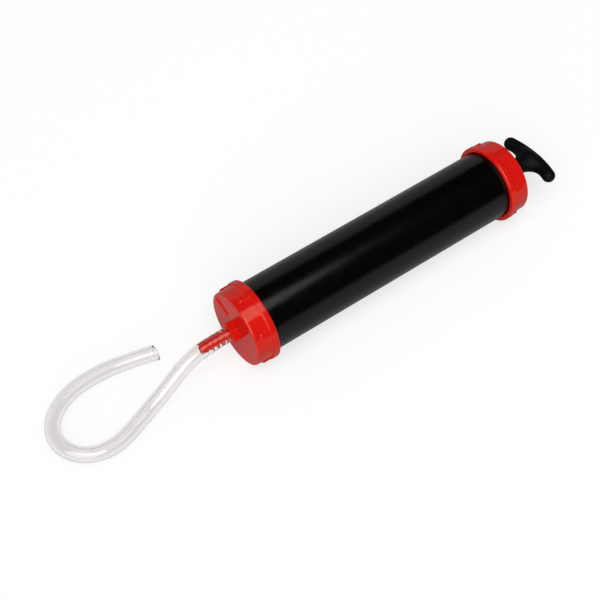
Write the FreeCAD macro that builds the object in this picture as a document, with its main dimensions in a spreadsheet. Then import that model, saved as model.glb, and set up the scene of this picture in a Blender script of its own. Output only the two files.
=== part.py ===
import FreeCAD, Part

import math
import os

import Sketcher
from FreeCAD import Placement, Rotation, Vector

# Hand pump for moving oils and other workshop fluids: a tube with a screwed plastic cap on each end,
# a barbed hose nozzle in the front cap, a short clear hose on it, and a rod with a piston that a
# T-shaped handle pulls through the rear cap.
#
# Frame: X runs along the tube, from the nozzle (-X) to the handle (+X), and Z points up. The pump
# lies on the flanges of its two caps. The origin is under the middle of the pump, on that surface.
# Distances named "at_..." are measured along X from the outer face of the front cap.

doc = FreeCAD.newDocument("fluid_transfer_pump")

# ---------------------------------------------------------------------------------------------
# Driving sizes, in millimetres and degrees
# ---------------------------------------------------------------------------------------------
SIZES = {
    # tube
    "barrel_diameter": 60.0,
    "barrel_wall": 2.0,
    "barrel_length": 267.5,
    # caps, one moulding for both ends as far as the skirt goes
    "cap_wall": 3.5,
    "cap_length": 19.5,
    "cap_skirt_wall": 2.8,
    "cap_draft": 0.5,
    "cap_rim_round": 1.2,
    "cap_skirt_clearance": 0.15,
    "cap_mouth_clearance": 0.7,
    "cap_mouth_depth": 2.0,
    "flange_height": 1.7,
    "flange_width": 5.6,
    "flange_round": 1.1,
    "lug_count": 6.0,
    "lug_width": 4.8,
    "lug_length": 8.6,
    "lug_height": 1.1,
    "lug_root": 1.0,
    "front_lug_phase": 27.5,
    "rear_lug_phase": 25.0,
    "gasket_thickness": 1.5,
    "gasket_width": 4.5,
    # nozzle
    "front_boss_wall": 5.0,
    "front_boss_length": 5.5,
    "nozzle_stem_diameter": 12.0,
    "nozzle_hex_margin": 0.75,
    "nozzle_hex_length": 7.0,
    "nozzle_bore": 5.0,
    "barb_count": 5.0,
    "barb_pitch": 5.2,
    "barb_root_diameter": 7.4,
    "barb_height": 0.5,
    "barb_land": 0.5,
    "nozzle_seal_section": 1.5,
    # hose
    "hose_diameter": 13.0,
    "hose_stretch": 0.4,
    # rod guide in the rear cap
    "rear_boss_wall": 4.0,
    "rear_boss_length": 14.0,
    "bush_wall": 3.0,
    "bush_flange_height": 3.0,
    "bush_flange_width": 1.5,
    "bush_stand_out": 3.2,
    "bush_clearance": 0.06,
    "clip_thickness": 1.2,
    "clip_height": 2.25,
    "clip_groove_depth": 0.8,
    "rod_seal_width": 2.6,
    "rod_seal_depth": 1.6,
    "wiper_width": 2.4,
    "wiper_depth": 1.6,
    "vent_diameter": 2.5,
    "vent_inset": 10.0,
    # rod, piston and handle
    "rod_diameter": 8.0,
    "rod_chamfer": 0.8,
    "piston_length": 22.0,
    "piston_clearance": 0.4,
    "piston_core_depth": 6.0,
    "groove_depth": 4.0,
    "groove_width": 4.6,
    "groove_land": 3.6,
    "piston_wall": 3.5,
    "cup_side_clearance": 0.3,
    "cup_bore_clearance": 0.3,
    "cup_running_clearance": 0.06,
    "cup_lip_depth": 2.0,
    "cup_lip_wall": 0.9,
    "washer_width": 8.0,
    "washer_thickness": 1.6,
    "spring_washer_width": 3.25,
    "spring_washer_thickness": 1.8,
    "nut_wall": 2.5,
    "nut_length": 6.5,
    "front_stop_gap": 1.0,
    "rear_stop_gap": 1.0,
    "rod_end_stand_out": 0.5,
    "lock_nut_gap": 2.8,
    "hub_wall": 1.6,
    "hub_length": 15.4,
    "insert_wall": 1.3,
    "insert_length": 12.0,
    "bar_diameter": 11.6,
    "bar_half_span": 24.3,
    "bar_bow": 3.3,
    "web_radius": 10.0,
    "web_thickness": 9.6,
    "handle_turn": -3.0,
}

# Places and sizes that follow from the driving ones
PLACES = {
    "barrel_radius": "Sizes.barrel_diameter / 2",
    "bore_radius": "Sizes.barrel_diameter / 2 - Sizes.barrel_wall",
    "cap_root_radius": "barrel_radius + Sizes.cap_skirt_wall",
    "cap_face_radius": "cap_root_radius - Sizes.cap_draft",
    "flange_radius": "cap_root_radius + Sizes.flange_height",
    "lug_radius": "cap_root_radius + Sizes.lug_height",
    "vent_radius": "barrel_radius - Sizes.vent_inset",
    "stem_radius": "Sizes.nozzle_stem_diameter / 2",
    "nozzle_seal_radius": "stem_radius + Sizes.nozzle_seal_section",
    "nozzle_hex_flats": "2 * (nozzle_seal_radius + Sizes.nozzle_hex_margin)",
    "barb_root_radius": "Sizes.barb_root_diameter / 2",
    "barb_crest_radius": "barb_root_radius + Sizes.barb_height",
    "hose_bore_radius": "barb_crest_radius - Sizes.hose_stretch / 2",
    "rod_radius": "Sizes.rod_diameter / 2",
    "bush_radius": "rod_radius + Sizes.bush_wall",
    "rod_seal_radius": "rod_radius + Sizes.rod_seal_depth",
    "wiper_radius": "rod_radius + Sizes.wiper_depth",
    "groove_radius": "bore_radius - Sizes.groove_depth",
    "nut_flats": "Sizes.rod_diameter + 2 * Sizes.nut_wall",
    "insert_radius": "rod_radius + Sizes.insert_wall",
    "hub_radius": "insert_radius + Sizes.hub_wall",
    "barb_length": "Sizes.barb_count * Sizes.barb_pitch",
    "at_spigot_tip": "-Sizes.nozzle_hex_length - barb_length",
    "at_barrel": "Sizes.cap_wall + Sizes.gasket_thickness",
    "at_rear_gasket": "at_barrel + Sizes.barrel_length",
    "at_rear_face": "at_rear_gasket + Sizes.gasket_thickness + Sizes.cap_wall",
    "at_bush": "at_rear_face - Sizes.cap_wall - Sizes.rear_boss_length - Sizes.bush_flange_width",
    "bush_length": "at_rear_face + Sizes.bush_stand_out - at_bush",
    "at_piston_nut": "Sizes.cap_wall + Sizes.front_boss_length + Sizes.front_stop_gap",
    "at_spring_washer": "at_piston_nut + Sizes.nut_length",
    "at_front_washer": "at_spring_washer + Sizes.spring_washer_thickness",
    "at_piston": "at_front_washer + Sizes.washer_thickness",
    "at_rear_washer": "at_piston + Sizes.piston_length",
    "at_rear_nut": "at_rear_washer + Sizes.washer_thickness",
    "stroke": "at_bush - Sizes.rear_stop_gap - at_rear_nut - Sizes.nut_length",
    "at_lock_nut": "at_rear_face + Sizes.bush_stand_out + Sizes.lock_nut_gap",
    "at_hub": "at_lock_nut + Sizes.nut_length",
    "at_bar": "at_hub + Sizes.hub_length + Sizes.bar_diameter / 2",
    "at_handle_end": "at_bar + Sizes.bar_diameter / 2",
    "bow_radius": "(Sizes.bar_half_span ^ 2 + Sizes.bar_bow ^ 2) / (2 * Sizes.bar_bow)",
    "face_at": "-(at_spigot_tip + at_handle_end) / 2",
    "at_front_cup": "at_piston + Sizes.groove_land + Sizes.cup_side_clearance",
    "at_rear_cup": "at_rear_washer - Sizes.groove_land - Sizes.cup_side_clearance - cup_width",
    "cup_width": "Sizes.groove_width - 2 * Sizes.cup_side_clearance",
    "cup_outer_radius": "bore_radius - Sizes.cup_running_clearance",
    "cup_inner_radius": "groove_radius + Sizes.cup_bore_clearance",
    "bush_bore_radius": "rod_radius + Sizes.bush_clearance",
    "at_seal_groove": "bush_length / 3 - Sizes.rod_seal_width / 2",
    "at_wiper_groove": "bush_length * 2 / 3 - Sizes.wiper_width / 2",
}


def fill_sheet(name, cells, text):
    """Write one sheet: a name in column A, its value in column B under the same alias."""
    sheet = doc.addObject("Spreadsheet::Sheet", name)
    for row, (alias, value) in enumerate(cells.items(), start=1):
        sheet.set(f"A{row}", alias)
        sheet.setAlias(f"B{row}", alias)
        sheet.set(f"B{row}", text(value))
    doc.recompute()
    return sheet


sizes = fill_sheet("Sizes", SIZES, str)
places = fill_sheet("Places", PLACES, lambda formula: "=" + formula)


def value(formula):
    """The number that a formula over the two sheets gives."""
    result = places.evalExpression(formula)
    return float(getattr(result, "Value", result))


# ---------------------------------------------------------------------------------------------
# Helpers
# ---------------------------------------------------------------------------------------------
pieces = []

# Largest difference between an edge and the place asked for, and between a volume and its formula
EDGE_MATCH = 1e-4
VOLUME_MATCH = 0.01

# Turns the Z axis of a Part primitive onto X, and a turned piece end for end
ALONG_X = Rotation(Vector(0, 1, 0), 90)
MIRRORED = Rotation(Vector(0, 0, 1), 180)


def keep(piece, label):
    """Give a sub-part its own Label and list it for writing."""
    piece.Label = label
    pieces.append(piece)
    return piece


def put(piece, at, turn=None):
    """Place a piece whose own origin lies on the pump's axis, "at" along X from the front face."""
    piece.Placement = Placement(Vector(0, 0, 0), turn or Rotation())
    piece.setExpression(".Placement.Base.x", f"Places.face_at + {at}")
    piece.setExpression(".Placement.Base.z", "Places.flange_radius")


def plane_of(body, role):
    """One of a body's own origin planes."""
    return next(part for part in body.Origin.OriginFeatures if part.Role == role)


def new_sketch(body, name, role, offset="0", turn="0"):
    """A sketch on an origin plane of its body, moved along and turned about the plane's normal."""
    sketch = body.newObject("Sketcher::SketchObject", name)
    sketch.AttachmentSupport = [(plane_of(body, role), "")]
    sketch.MapMode = "FlatFace"
    sketch.AttachmentOffset = Placement(Vector(0, 0, value(offset)), Rotation(Vector(0, 0, 1), value(turn)))
    if offset != "0":
        sketch.setExpression(".AttachmentOffset.Base.z", offset)
    if turn != "0":
        sketch.setExpression(".AttachmentOffset.Rotation.Angle", turn)
    return sketch


def draw_outline(sketch, points):
    """A closed outline of straight edges whose corners are bound to formulas; "0" lies on the axis."""
    corners = [Vector(value(across), value(up), 0) for across, up in points]
    count = len(corners)
    for index in range(count):
        sketch.addGeometry(Part.LineSegment(corners[index], corners[(index + 1) % count]), False)
    for index in range(count):
        sketch.addConstraint(Sketcher.Constraint("Coincident", index, 2, (index + 1) % count, 1))
    for index, (across, up) in enumerate(points):
        for kind, axis, formula, place in (
            ("DistanceX", -2, across, corners[index].x),
            ("DistanceY", -1, up, corners[index].y),
        ):
            if formula == "0":
                sketch.addConstraint(Sketcher.Constraint("PointOnObject", index, 1, axis))
                continue
            row = sketch.addConstraint(Sketcher.Constraint(kind, -1, 1, index, 1, place))
            sketch.setExpression(f"Constraints[{row}]", formula)


def new_body(name):
    return doc.addObject("PartDesign::Body", name)


def turn_profile(body, name, points):
    """Turn an outline of (along X, radius) corners about the X axis."""
    sketch = new_sketch(body, f"{name}_profile", "XY_Plane")
    draw_outline(sketch, points)
    feature = body.newObject("PartDesign::Revolution", f"{name}_turned")
    feature.Profile = sketch
    feature.ReferenceAxis = (sketch, ["H_Axis"])
    feature.Angle = 360
    doc.recompute()
    return feature


def turned_piece(label, points, at, turn=None):
    """A piece that is one turned outline."""
    body = new_body(f"{label}_body")
    turn_profile(body, label, points)
    put(body, at, turn)
    return keep(body, label)


def ring_outline(inner, outer, length):
    """A plain ring's outline."""
    return [("0", inner), (length, inner), (length, outer), ("0", outer)]


def round_edges(body, name, places_of_edges, radius):
    """Round the circular edges that lie at the given (along X, radius) places of a body."""
    doc.recompute()
    base = body.Tip
    found = []
    for index, edge in enumerate(base.Shape.Edges, start=1):
        if not isinstance(edge.Curve, Part.Circle) or not edge.isClosed():
            continue
        for along, edge_radius in places_of_edges:
            same_radius = abs(edge.Curve.Radius - value(edge_radius)) < EDGE_MATCH
            if same_radius and abs(edge.Curve.Center.x - value(along)) < EDGE_MATCH:
                found.append(f"Edge{index}")
    assert len(found) == len(places_of_edges), f"{name}: {len(found)} edges found"
    feature = body.newObject("PartDesign::Fillet", name)
    feature.Base = (base, found)
    feature.setExpression("Radius", radius)
    doc.recompute()
    return feature


# ---------------------------------------------------------------------------------------------
# Tube, caps and gaskets
# ---------------------------------------------------------------------------------------------
def make_barrel():
    outline = ring_outline("Places.bore_radius", "Places.barrel_radius", "Sizes.barrel_length")
    turned_piece("barrel_tube", outline, "Places.at_barrel")


def cap_outline(boss_radius, boss_length, hole_radius, seat_radius=None):
    """A cap's half section, from its outer face inwards: end wall, skirt, flange and inner boss."""
    skirt = "Places.barrel_radius + Sizes.cap_skirt_clearance"
    mouth = "Places.barrel_radius + Sizes.cap_mouth_clearance"
    boss_end = f"Sizes.cap_wall + {boss_length}"
    outline = [("0", seat_radius or hole_radius)]
    if seat_radius:
        outline += [("Sizes.nozzle_seal_section", seat_radius), ("Sizes.nozzle_seal_section", hole_radius)]
    return outline + [
        (boss_end, hole_radius),
        (boss_end, boss_radius),
        ("Sizes.cap_wall", boss_radius),
        ("Sizes.cap_wall", skirt),
        ("Sizes.cap_length - Sizes.cap_mouth_depth", skirt),
        ("Sizes.cap_length", mouth),
        ("Sizes.cap_length", "Places.flange_radius"),
        ("Sizes.cap_length - Sizes.flange_width", "Places.flange_radius"),
        ("Sizes.cap_length - Sizes.flange_width", "Places.cap_root_radius"),
        ("0", "Places.cap_face_radius"),
    ]


def add_lugs(body, name, phase):
    """Grip lugs round the skirt, each running into the flange."""
    start = "Sizes.cap_length - Sizes.flange_width - Sizes.lug_length"
    sketch = new_sketch(body, f"{name}_lug_outline", "YZ_Plane", start, phase)
    low = "Places.cap_face_radius - Sizes.lug_root"
    high = "Places.lug_radius"
    half = "Sizes.lug_width / 2"
    draw_outline(sketch, [(low, f"-{half}"), (high, f"-{half}"), (high, half), (low, half)])
    pad = body.newObject("PartDesign::Pad", f"{name}_lug")
    pad.Profile = sketch
    pad.setExpression("Length", "Sizes.lug_length + Sizes.flange_width / 2")
    doc.recompute()
    pattern = body.newObject("PartDesign::PolarPattern", f"{name}_lugs")
    pattern.Originals = [pad]
    pattern.Axis = (sketch, ["N_Axis"])
    pattern.Angle = 360
    pattern.setExpression("Occurrences", "Sizes.lug_count")
    body.Tip = pattern
    doc.recompute()


def round_cap(body, name):
    """Rounded rim of the end face and rounded edges of the flange."""
    rim = [("0", "Places.cap_face_radius")]
    round_edges(body, f"{name}_rim", rim, "Sizes.cap_rim_round")
    flange = [("Sizes.cap_length", "Places.flange_radius")]
    round_edges(body, f"{name}_flange_edge", flange, "Sizes.flange_round")


def make_front_cap():
    body = new_body("front_cap_body")
    seat = "Places.nozzle_seal_radius"
    stem_hole = "Places.stem_radius"
    boss = "Places.stem_radius + Sizes.front_boss_wall"
    turn_profile(body, "front_cap", cap_outline(boss, "Sizes.front_boss_length", stem_hole, seat))
    round_cap(body, "front_cap")
    add_lugs(body, "front_cap", "Sizes.front_lug_phase")
    put(body, "0")
    keep(body, "front_cap")


def make_rear_cap():
    """The same moulding the other way round, with a boss for the rod guide and two air holes."""
    body = new_body("rear_cap_body")
    hole = "Places.bush_radius"
    boss = "Places.bush_radius + Sizes.rear_boss_wall"
    turn_profile(body, "rear_cap", cap_outline(boss, "Sizes.rear_boss_length", hole))
    round_cap(body, "rear_cap")
    add_lugs(body, "rear_cap", "Sizes.rear_lug_phase")
    before = body.Shape.Volume
    sketch = new_sketch(body, "vent_outline", "YZ_Plane")
    for index, side in enumerate((1, -1)):
        centre = Vector(side * value("Places.vent_radius"), 0, 0)
        sketch.addGeometry(Part.Circle(centre, Vector(0, 0, 1), value("Sizes.vent_diameter") / 2), False)
        sketch.addConstraint(Sketcher.Constraint("PointOnObject", index, 3, -1))
        row = sketch.addConstraint(Sketcher.Constraint("DistanceX", -1, 1, index, 3, centre.x))
        sketch.setExpression(f"Constraints[{row}]", f"{side} * Places.vent_radius")
        row = sketch.addConstraint(Sketcher.Constraint("Diameter", index, value("Sizes.vent_diameter")))
        sketch.setExpression(f"Constraints[{row}]", "Sizes.vent_diameter")
    pocket = body.newObject("PartDesign::Pocket", "vents")
    pocket.Profile = sketch
    pocket.Type = "ThroughAll"
    pocket.Reversed = True
    doc.recompute()
    cut = before - pocket.Shape.Volume
    hole_volume = math.pi * value("Sizes.vent_diameter") ** 2 / 4 * value("Sizes.cap_wall")
    assert abs(cut / (2 * hole_volume) - 1) < VOLUME_MATCH, f"air holes cut {cut:.2f} mm3"
    put(body, "Places.at_rear_face", MIRRORED)
    keep(body, "rear_cap")


def make_gaskets():
    """Flat rubber rings between the tube's ends and the caps' end walls."""
    inner = "Places.barrel_radius - Sizes.gasket_width"
    outline = ring_outline(inner, "Places.barrel_radius", "Sizes.gasket_thickness")
    turned_piece("front_cap_gasket", outline, "Sizes.cap_wall")
    turned_piece("rear_cap_gasket", outline, "Places.at_rear_gasket")


# ---------------------------------------------------------------------------------------------
# Nozzle, its seal and the hose
# ---------------------------------------------------------------------------------------------
def make_nozzle():
    """Hexagon with a stem inwards and a barbed spigot outwards, bored through."""
    body = new_body("hose_nozzle_body")
    bore = "Sizes.nozzle_bore / 2"
    root = "Places.barb_root_radius"
    crest = "Places.barb_crest_radius"
    hex_start = "Places.barb_length"
    outline = [("0", bore), ("0", root)]
    for barb in range(round(value("Sizes.barb_count"))):
        top = f"{barb + 1} * Sizes.barb_pitch - Sizes.barb_land"
        outline += [(f"{top} - Sizes.barb_land", crest), (top, crest), (top, root)]
    stem = "Places.stem_radius"
    stem_start = f"{hex_start} + Sizes.nozzle_hex_length"
    stem_end = f"{stem_start} + Sizes.cap_wall + Sizes.front_boss_length"
    outline += [(hex_start, root), (hex_start, stem), (stem_end, stem), (stem_end, bore)]
    turn_profile(body, "hose_nozzle", outline)
    sketch = new_sketch(body, "hexagon_outline", "YZ_Plane", hex_start)
    flats = "Places.nozzle_hex_flats"
    slant = f"{flats} / sqrt(3)"
    corners = [
        (slant, "0"),
        (f"{slant} / 2", f"{flats} / 2"),
        (f"-{slant} / 2", f"{flats} / 2"),
        (f"-{slant}", "0"),
        (f"-{slant} / 2", f"-{flats} / 2"),
        (f"{slant} / 2", f"-{flats} / 2"),
    ]
    draw_outline(sketch, corners)
    hole = sketch.addGeometry(Part.Circle(Vector(), Vector(0, 0, 1), value(root)), False)
    sketch.addConstraint(Sketcher.Constraint("Coincident", hole, 3, -1, 1))
    row = sketch.addConstraint(Sketcher.Constraint("Diameter", hole, value("Sizes.barb_root_diameter")))
    sketch.setExpression(f"Constraints[{row}]", "Sizes.barb_root_diameter")
    pad = body.newObject("PartDesign::Pad", "hexagon")
    pad.Profile = sketch
    pad.setExpression("Length", "Sizes.nozzle_hex_length")
    doc.recompute()
    put(body, "Places.at_spigot_tip")
    keep(body, "hose_nozzle")


def make_nozzle_seal():
    outline = ring_outline("Places.stem_radius", "Places.nozzle_seal_radius", "Sizes.nozzle_seal_section")
    turned_piece("nozzle_seal", outline, "0")


# Corners of the hose's route: millimetres from the centre of the front cap's face, so z = 0 is the
# height of the pump's axis. The first lies on the nozzle's hexagon and the last is the open end.
# Every point from the fifth on lies on the surface that the pump lies on.
HOSE_LEAVES = [(-31.0, 0.0, 0.0), (-50.0, -2.0, -5.0), (-70.0, -4.0, -20.0)]
HOSE_LIES = [
    (-95.0, -10.0),
    (-121.0, -19.5),
    (-143.0, -17.0),
    (-158.0, -2.0),
    (-160.0, 17.0),
    (-148.0, 35.0),
    (-125.0, 45.0),
    (-98.0, 45.5),
    (-72.0, 41.0),
    (-54.0, 36.0),
]
ARC_SHARE = 0.45
SURFACE_GAP = 0.05


def hose_route():
    """The route's corners in the pump's frame."""
    face = value("face_at")
    axis_height = value("flange_radius")
    lying = value("Sizes.hose_diameter") / 2 + SURFACE_GAP
    start = [Vector(face - value("Sizes.nozzle_hex_length"), 0, axis_height)]
    leaves = [Vector(face + x, y, axis_height + z) for x, y, z in HOSE_LEAVES]
    lies = [Vector(face + x, y, lying) for x, y in HOSE_LIES]
    return start + leaves + lies


def route_wire(points):
    """Straight runs joined by tangent arcs, each as large as its two runs allow."""
    edges = []
    here = points[0]
    for before, corner, after in zip(points, points[1:], points[2:]):
        into = (corner - before).normalize()
        out = (after - corner).normalize()
        half_turn = into.getAngle(out) / 2
        cut_back = ARC_SHARE * min((corner - before).Length, (after - corner).Length)
        radius = cut_back / math.tan(half_turn)
        print(f"hose corner at {corner.x:.0f}, {corner.y:.0f}: radius {radius:.1f} mm")
        start = corner - into * cut_back
        end = corner + out * cut_back
        towards = (out - into).normalize()
        middle = corner + towards * (radius / math.cos(half_turn) - radius)
        edges.append(Part.LineSegment(here, start).toShape())
        edges.append(Part.Arc(start, middle, end).toShape())
        here = end
    edges.append(Part.LineSegment(here, points[-1]).toShape())
    return Part.Wire(edges)


def sweep_disc(path, radius):
    """A round bar along a path."""
    first = path.Edges[0]
    disc = Part.Wire(Part.Circle(first.valueAt(0), first.tangentAt(0), radius).toShape())
    return path.makePipeShell([disc], True, False)


def make_hose():
    """The clear hose: a tube along its route, pushed over the spigot as far as the hexagon."""
    path = route_wire(hose_route())
    outer = value("Sizes.hose_diameter") / 2
    inner = value("Places.hose_bore_radius")
    hose = doc.addObject("Part::Feature", "hose_shape")
    hose.Shape = sweep_disc(path, outer).cut(sweep_disc(path, inner))
    expected = math.pi * (outer ** 2 - inner ** 2) * path.Length
    print(f"hose: length {path.Length:.1f} mm, volume {hose.Shape.Volume:.0f}, expected {expected:.0f}")
    assert abs(hose.Shape.Volume / expected - 1) < VOLUME_MATCH, "the hose's volume doesn't fit its length"
    keep(hose, "hose")


# ---------------------------------------------------------------------------------------------
# Rod guide in the rear cap
# ---------------------------------------------------------------------------------------------
def make_rod_guide():
    """Flanged bush with grooves for the rod seal, the wiper and, outside the cap, a spring clip."""
    bore = "Places.bush_bore_radius"
    body_radius = "Places.bush_radius"
    flange = "Places.bush_radius + Sizes.bush_flange_height"
    seal = "Places.rod_seal_radius"
    wiper = "Places.wiper_radius"
    seal_start = "Places.at_seal_groove"
    seal_end = "Places.at_seal_groove + Sizes.rod_seal_width"
    wiper_start = "Places.at_wiper_groove"
    wiper_end = "Places.at_wiper_groove + Sizes.wiper_width"
    clip_start = "Places.at_rear_face - Places.at_bush"
    clip_end = f"{clip_start} + Sizes.clip_thickness"
    clip_floor = "Places.bush_radius - Sizes.clip_groove_depth"
    clip_outer = "Places.bush_radius + Sizes.clip_height"
    outline = [
        ("0", bore),
        (seal_start, bore),
        (seal_start, seal),
        (seal_end, seal),
        (seal_end, bore),
        (wiper_start, bore),
        (wiper_start, wiper),
        (wiper_end, wiper),
        (wiper_end, bore),
        ("Places.bush_length", bore),
        ("Places.bush_length", body_radius),
        (clip_end, body_radius),
        (clip_end, clip_floor),
        (clip_start, clip_floor),
        (clip_start, body_radius),
        ("Sizes.bush_flange_width", body_radius),
        ("Sizes.bush_flange_width", flange),
        ("0", flange),
    ]
    turned_piece("rod_guide_bush", outline, "Places.at_bush")
    seal_ring = ring_outline(bore, seal, "Sizes.rod_seal_width")
    turned_piece("rod_seal", seal_ring, "Places.at_bush + Places.at_seal_groove")
    wiper_ring = ring_outline(bore, wiper, "Sizes.wiper_width")
    turned_piece("rod_wiper", wiper_ring, "Places.at_bush + Places.at_wiper_groove")
    clip_ring = ring_outline(clip_floor, clip_outer, "Sizes.clip_thickness")
    turned_piece("bush_clip", clip_ring, "Places.at_rear_face")


# ---------------------------------------------------------------------------------------------
# Rod and piston
# ---------------------------------------------------------------------------------------------
def make_rod():
    """Plain rod with chamfered ends, from the piston's front nut to the insert in the handle."""
    start = "Places.at_piston_nut - Sizes.rod_end_stand_out"
    length = f"Places.at_hub + Sizes.insert_length - ({start})"
    chamfer = "Sizes.rod_chamfer"
    tip = f"Places.rod_radius - {chamfer}"
    outline = [
        ("0", "0"),
        ("0", tip),
        (chamfer, "Places.rod_radius"),
        (f"{length} - {chamfer}", "Places.rod_radius"),
        (length, tip),
        (length, "0"),
    ]
    turned_piece("piston_rod", outline, start)


def make_piston():
    """Piston with two grooves for the cup seals and a hollow in its rear face."""
    outer = "Places.bore_radius - Sizes.piston_clearance"
    floor = "Places.groove_radius"
    front = "Sizes.groove_land"
    rear = "Sizes.piston_length - Sizes.groove_land - Sizes.groove_width"
    hollow_floor = "Sizes.piston_length - Sizes.piston_core_depth"
    hollow_radius = f"{floor} - Sizes.piston_wall"
    hub = "Places.rod_radius + Sizes.washer_width"
    outline = [
        ("0", "Places.rod_radius"),
        ("Sizes.piston_length", "Places.rod_radius"),
        ("Sizes.piston_length", hub),
        (hollow_floor, hub),
        (hollow_floor, hollow_radius),
        ("Sizes.piston_length", hollow_radius),
        ("Sizes.piston_length", outer),
        (f"{rear} + Sizes.groove_width", outer),
        (f"{rear} + Sizes.groove_width", floor),
        (rear, floor),
        (rear, outer),
        (f"{front} + Sizes.groove_width", outer),
        (f"{front} + Sizes.groove_width", floor),
        (front, floor),
        (front, outer),
        ("0", outer),
    ]
    turned_piece("piston_head", outline, "Places.at_piston")


def make_cups():
    """Two cup seals, lips towards the fluid in front and towards the air behind."""
    inner = "Places.cup_inner_radius"
    outer = "Places.cup_outer_radius"
    width = "Places.cup_width"
    lip = "Sizes.cup_lip_wall"
    depth = "Sizes.cup_lip_depth"
    outline = [
        (width, inner),
        ("0", inner),
        ("0", f"{inner} + {lip}"),
        (depth, f"({inner} + {outer}) / 2"),
        ("0", f"{outer} - {lip}"),
        ("0", outer),
        (width, outer),
    ]
    turned_piece("piston_cup_front", outline, "Places.at_front_cup")
    turned_piece("piston_cup_rear", outline, "Places.at_rear_cup + Places.cup_width", MIRRORED)


def make_washers():
    rod = "Places.rod_radius"
    plain = ring_outline(rod, f"{rod} + Sizes.washer_width", "Sizes.washer_thickness")
    turned_piece("piston_washer_front", plain, "Places.at_front_washer")
    turned_piece("piston_washer_rear", plain, "Places.at_rear_washer")
    spring = ring_outline(rod, f"{rod} + Sizes.spring_washer_width", "Sizes.spring_washer_thickness")
    turned_piece("piston_spring_washer", spring, "Places.at_spring_washer")


def make_nut(label, at):
    """Hexagon nut on the rod."""
    blank = doc.addObject("Part::Prism", f"{label}_blank")
    blank.Polygon = 6
    blank.setExpression("Circumradius", "Places.nut_flats / sqrt(3)")
    blank.setExpression("Height", "Sizes.nut_length")
    hole = doc.addObject("Part::Cylinder", f"{label}_hole")
    hole.setExpression("Radius", "Places.rod_radius")
    hole.setExpression("Height", "Sizes.nut_length")
    nut = doc.addObject("Part::Cut", f"{label}_cut")
    nut.Base = blank
    nut.Tool = hole
    put(nut, at, ALONG_X)
    keep(nut, label)


# ---------------------------------------------------------------------------------------------
# Handle
# ---------------------------------------------------------------------------------------------
def primitive(kind, name, along, across="0", turn=None, **formulas):
    """A Part primitive, "along" from the hub's foot on X and "across" along the crossbar."""
    solid = doc.addObject(f"Part::{kind}", name)
    for field, formula in formulas.items():
        solid.setExpression(field, formula)
    solid.Placement = Placement(Vector(0, 0, 0), turn or Rotation())
    solid.setExpression(".Placement.Base.x", along)
    solid.setExpression(".Placement.Base.y", across)
    return solid


def make_handle():
    """T handle: a round hub, a bowed round crossbar with ball ends, and a web between them."""
    bar_radius = "Sizes.bar_diameter / 2"
    bar_at = "Places.at_bar - Places.at_hub"
    span = "Sizes.bar_half_span"
    half_angle = f"asin({span} / Places.bow_radius)"
    bar = doc.addObject("Part::Torus", "handle_bar")
    bar.setExpression("Radius1", "Places.bow_radius")
    bar.setExpression("Radius2", bar_radius)
    bar.setExpression("Angle3", f"2 * {half_angle}")
    bar.Placement = Placement(Vector(0, 0, 0), Rotation(Vector(0, 0, 1), -value(half_angle)))
    bar.setExpression(".Placement.Base.x", f"{bar_at} - Places.bow_radius")
    bar.setExpression(".Placement.Rotation.Angle", f"360 - {half_angle} / 1deg")
    bar.Placement.Rotation.Axis = Vector(0, 0, 1)
    end_at = f"{bar_at} - Sizes.bar_bow"
    balls = [
        primitive("Sphere", f"handle_end_{name}", end_at, f"{side} * {span}", Radius=bar_radius)
        for name, side in (("left", 1), ("right", -1))
    ]
    hub = primitive("Cylinder", "handle_hub", "0", turn=ALONG_X, Radius="Places.hub_radius", Height=bar_at)
    reach = "Places.hub_radius + Sizes.web_radius"
    web_start = f"{bar_at} - {bar_radius} - Sizes.web_radius"
    web_length = f"Sizes.web_radius + {bar_radius} / 2"
    slab = primitive(
        "Box", "handle_web_blank", web_start, f"-({reach})",
        Length=web_length, Width=f"2 * ({reach})", Height="Sizes.web_thickness",
    )
    slab.setExpression(".Placement.Base.z", "-Sizes.web_thickness / 2")
    web = slab
    for name, side in (("left", 1), ("right", -1)):
        scoop = primitive(
            "Cylinder", f"handle_scoop_{name}", web_start, f"{side} * ({reach})",
            Radius="Sizes.web_radius", Height="Sizes.web_thickness",
        )
        scoop.setExpression(".Placement.Base.z", "-Sizes.web_thickness / 2")
        cut = doc.addObject("Part::Cut", f"handle_web_{name}")
        cut.Base = web
        cut.Tool = scoop
        web = cut
    whole = bar
    for index, solid in enumerate(balls + [hub, web]):
        joined = doc.addObject("Part::Fuse", f"handle_joined_{index}")
        joined.Base = whole
        joined.Tool = solid
        whole = joined
    socket = primitive(
        "Cylinder", "handle_socket", "0", turn=ALONG_X,
        Radius="Places.insert_radius", Height="Sizes.insert_length",
    )
    handle = doc.addObject("Part::Cut", "handle_bored")
    handle.Base = whole
    handle.Tool = socket
    put(handle, "Places.at_hub", Rotation(Vector(1, 0, 0), value("Sizes.handle_turn")))
    handle.setExpression(".Placement.Rotation.Angle", "Sizes.handle_turn")
    keep(handle, "t_handle")
    insert = ring_outline("Places.rod_radius", "Places.insert_radius", "Sizes.insert_length")
    turned_piece("handle_insert", insert, "Places.at_hub")


make_barrel()
make_front_cap()
make_rear_cap()
make_gaskets()
make_nozzle()
make_nozzle_seal()
make_hose()
make_rod_guide()
make_rod()
make_piston()
make_cups()
make_washers()
make_nut("piston_nut_front", "Places.at_piston_nut")
make_nut("piston_nut_rear", "Places.at_rear_nut")
make_nut("handle_lock_nut", "Places.at_lock_nut")
make_handle()

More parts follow.
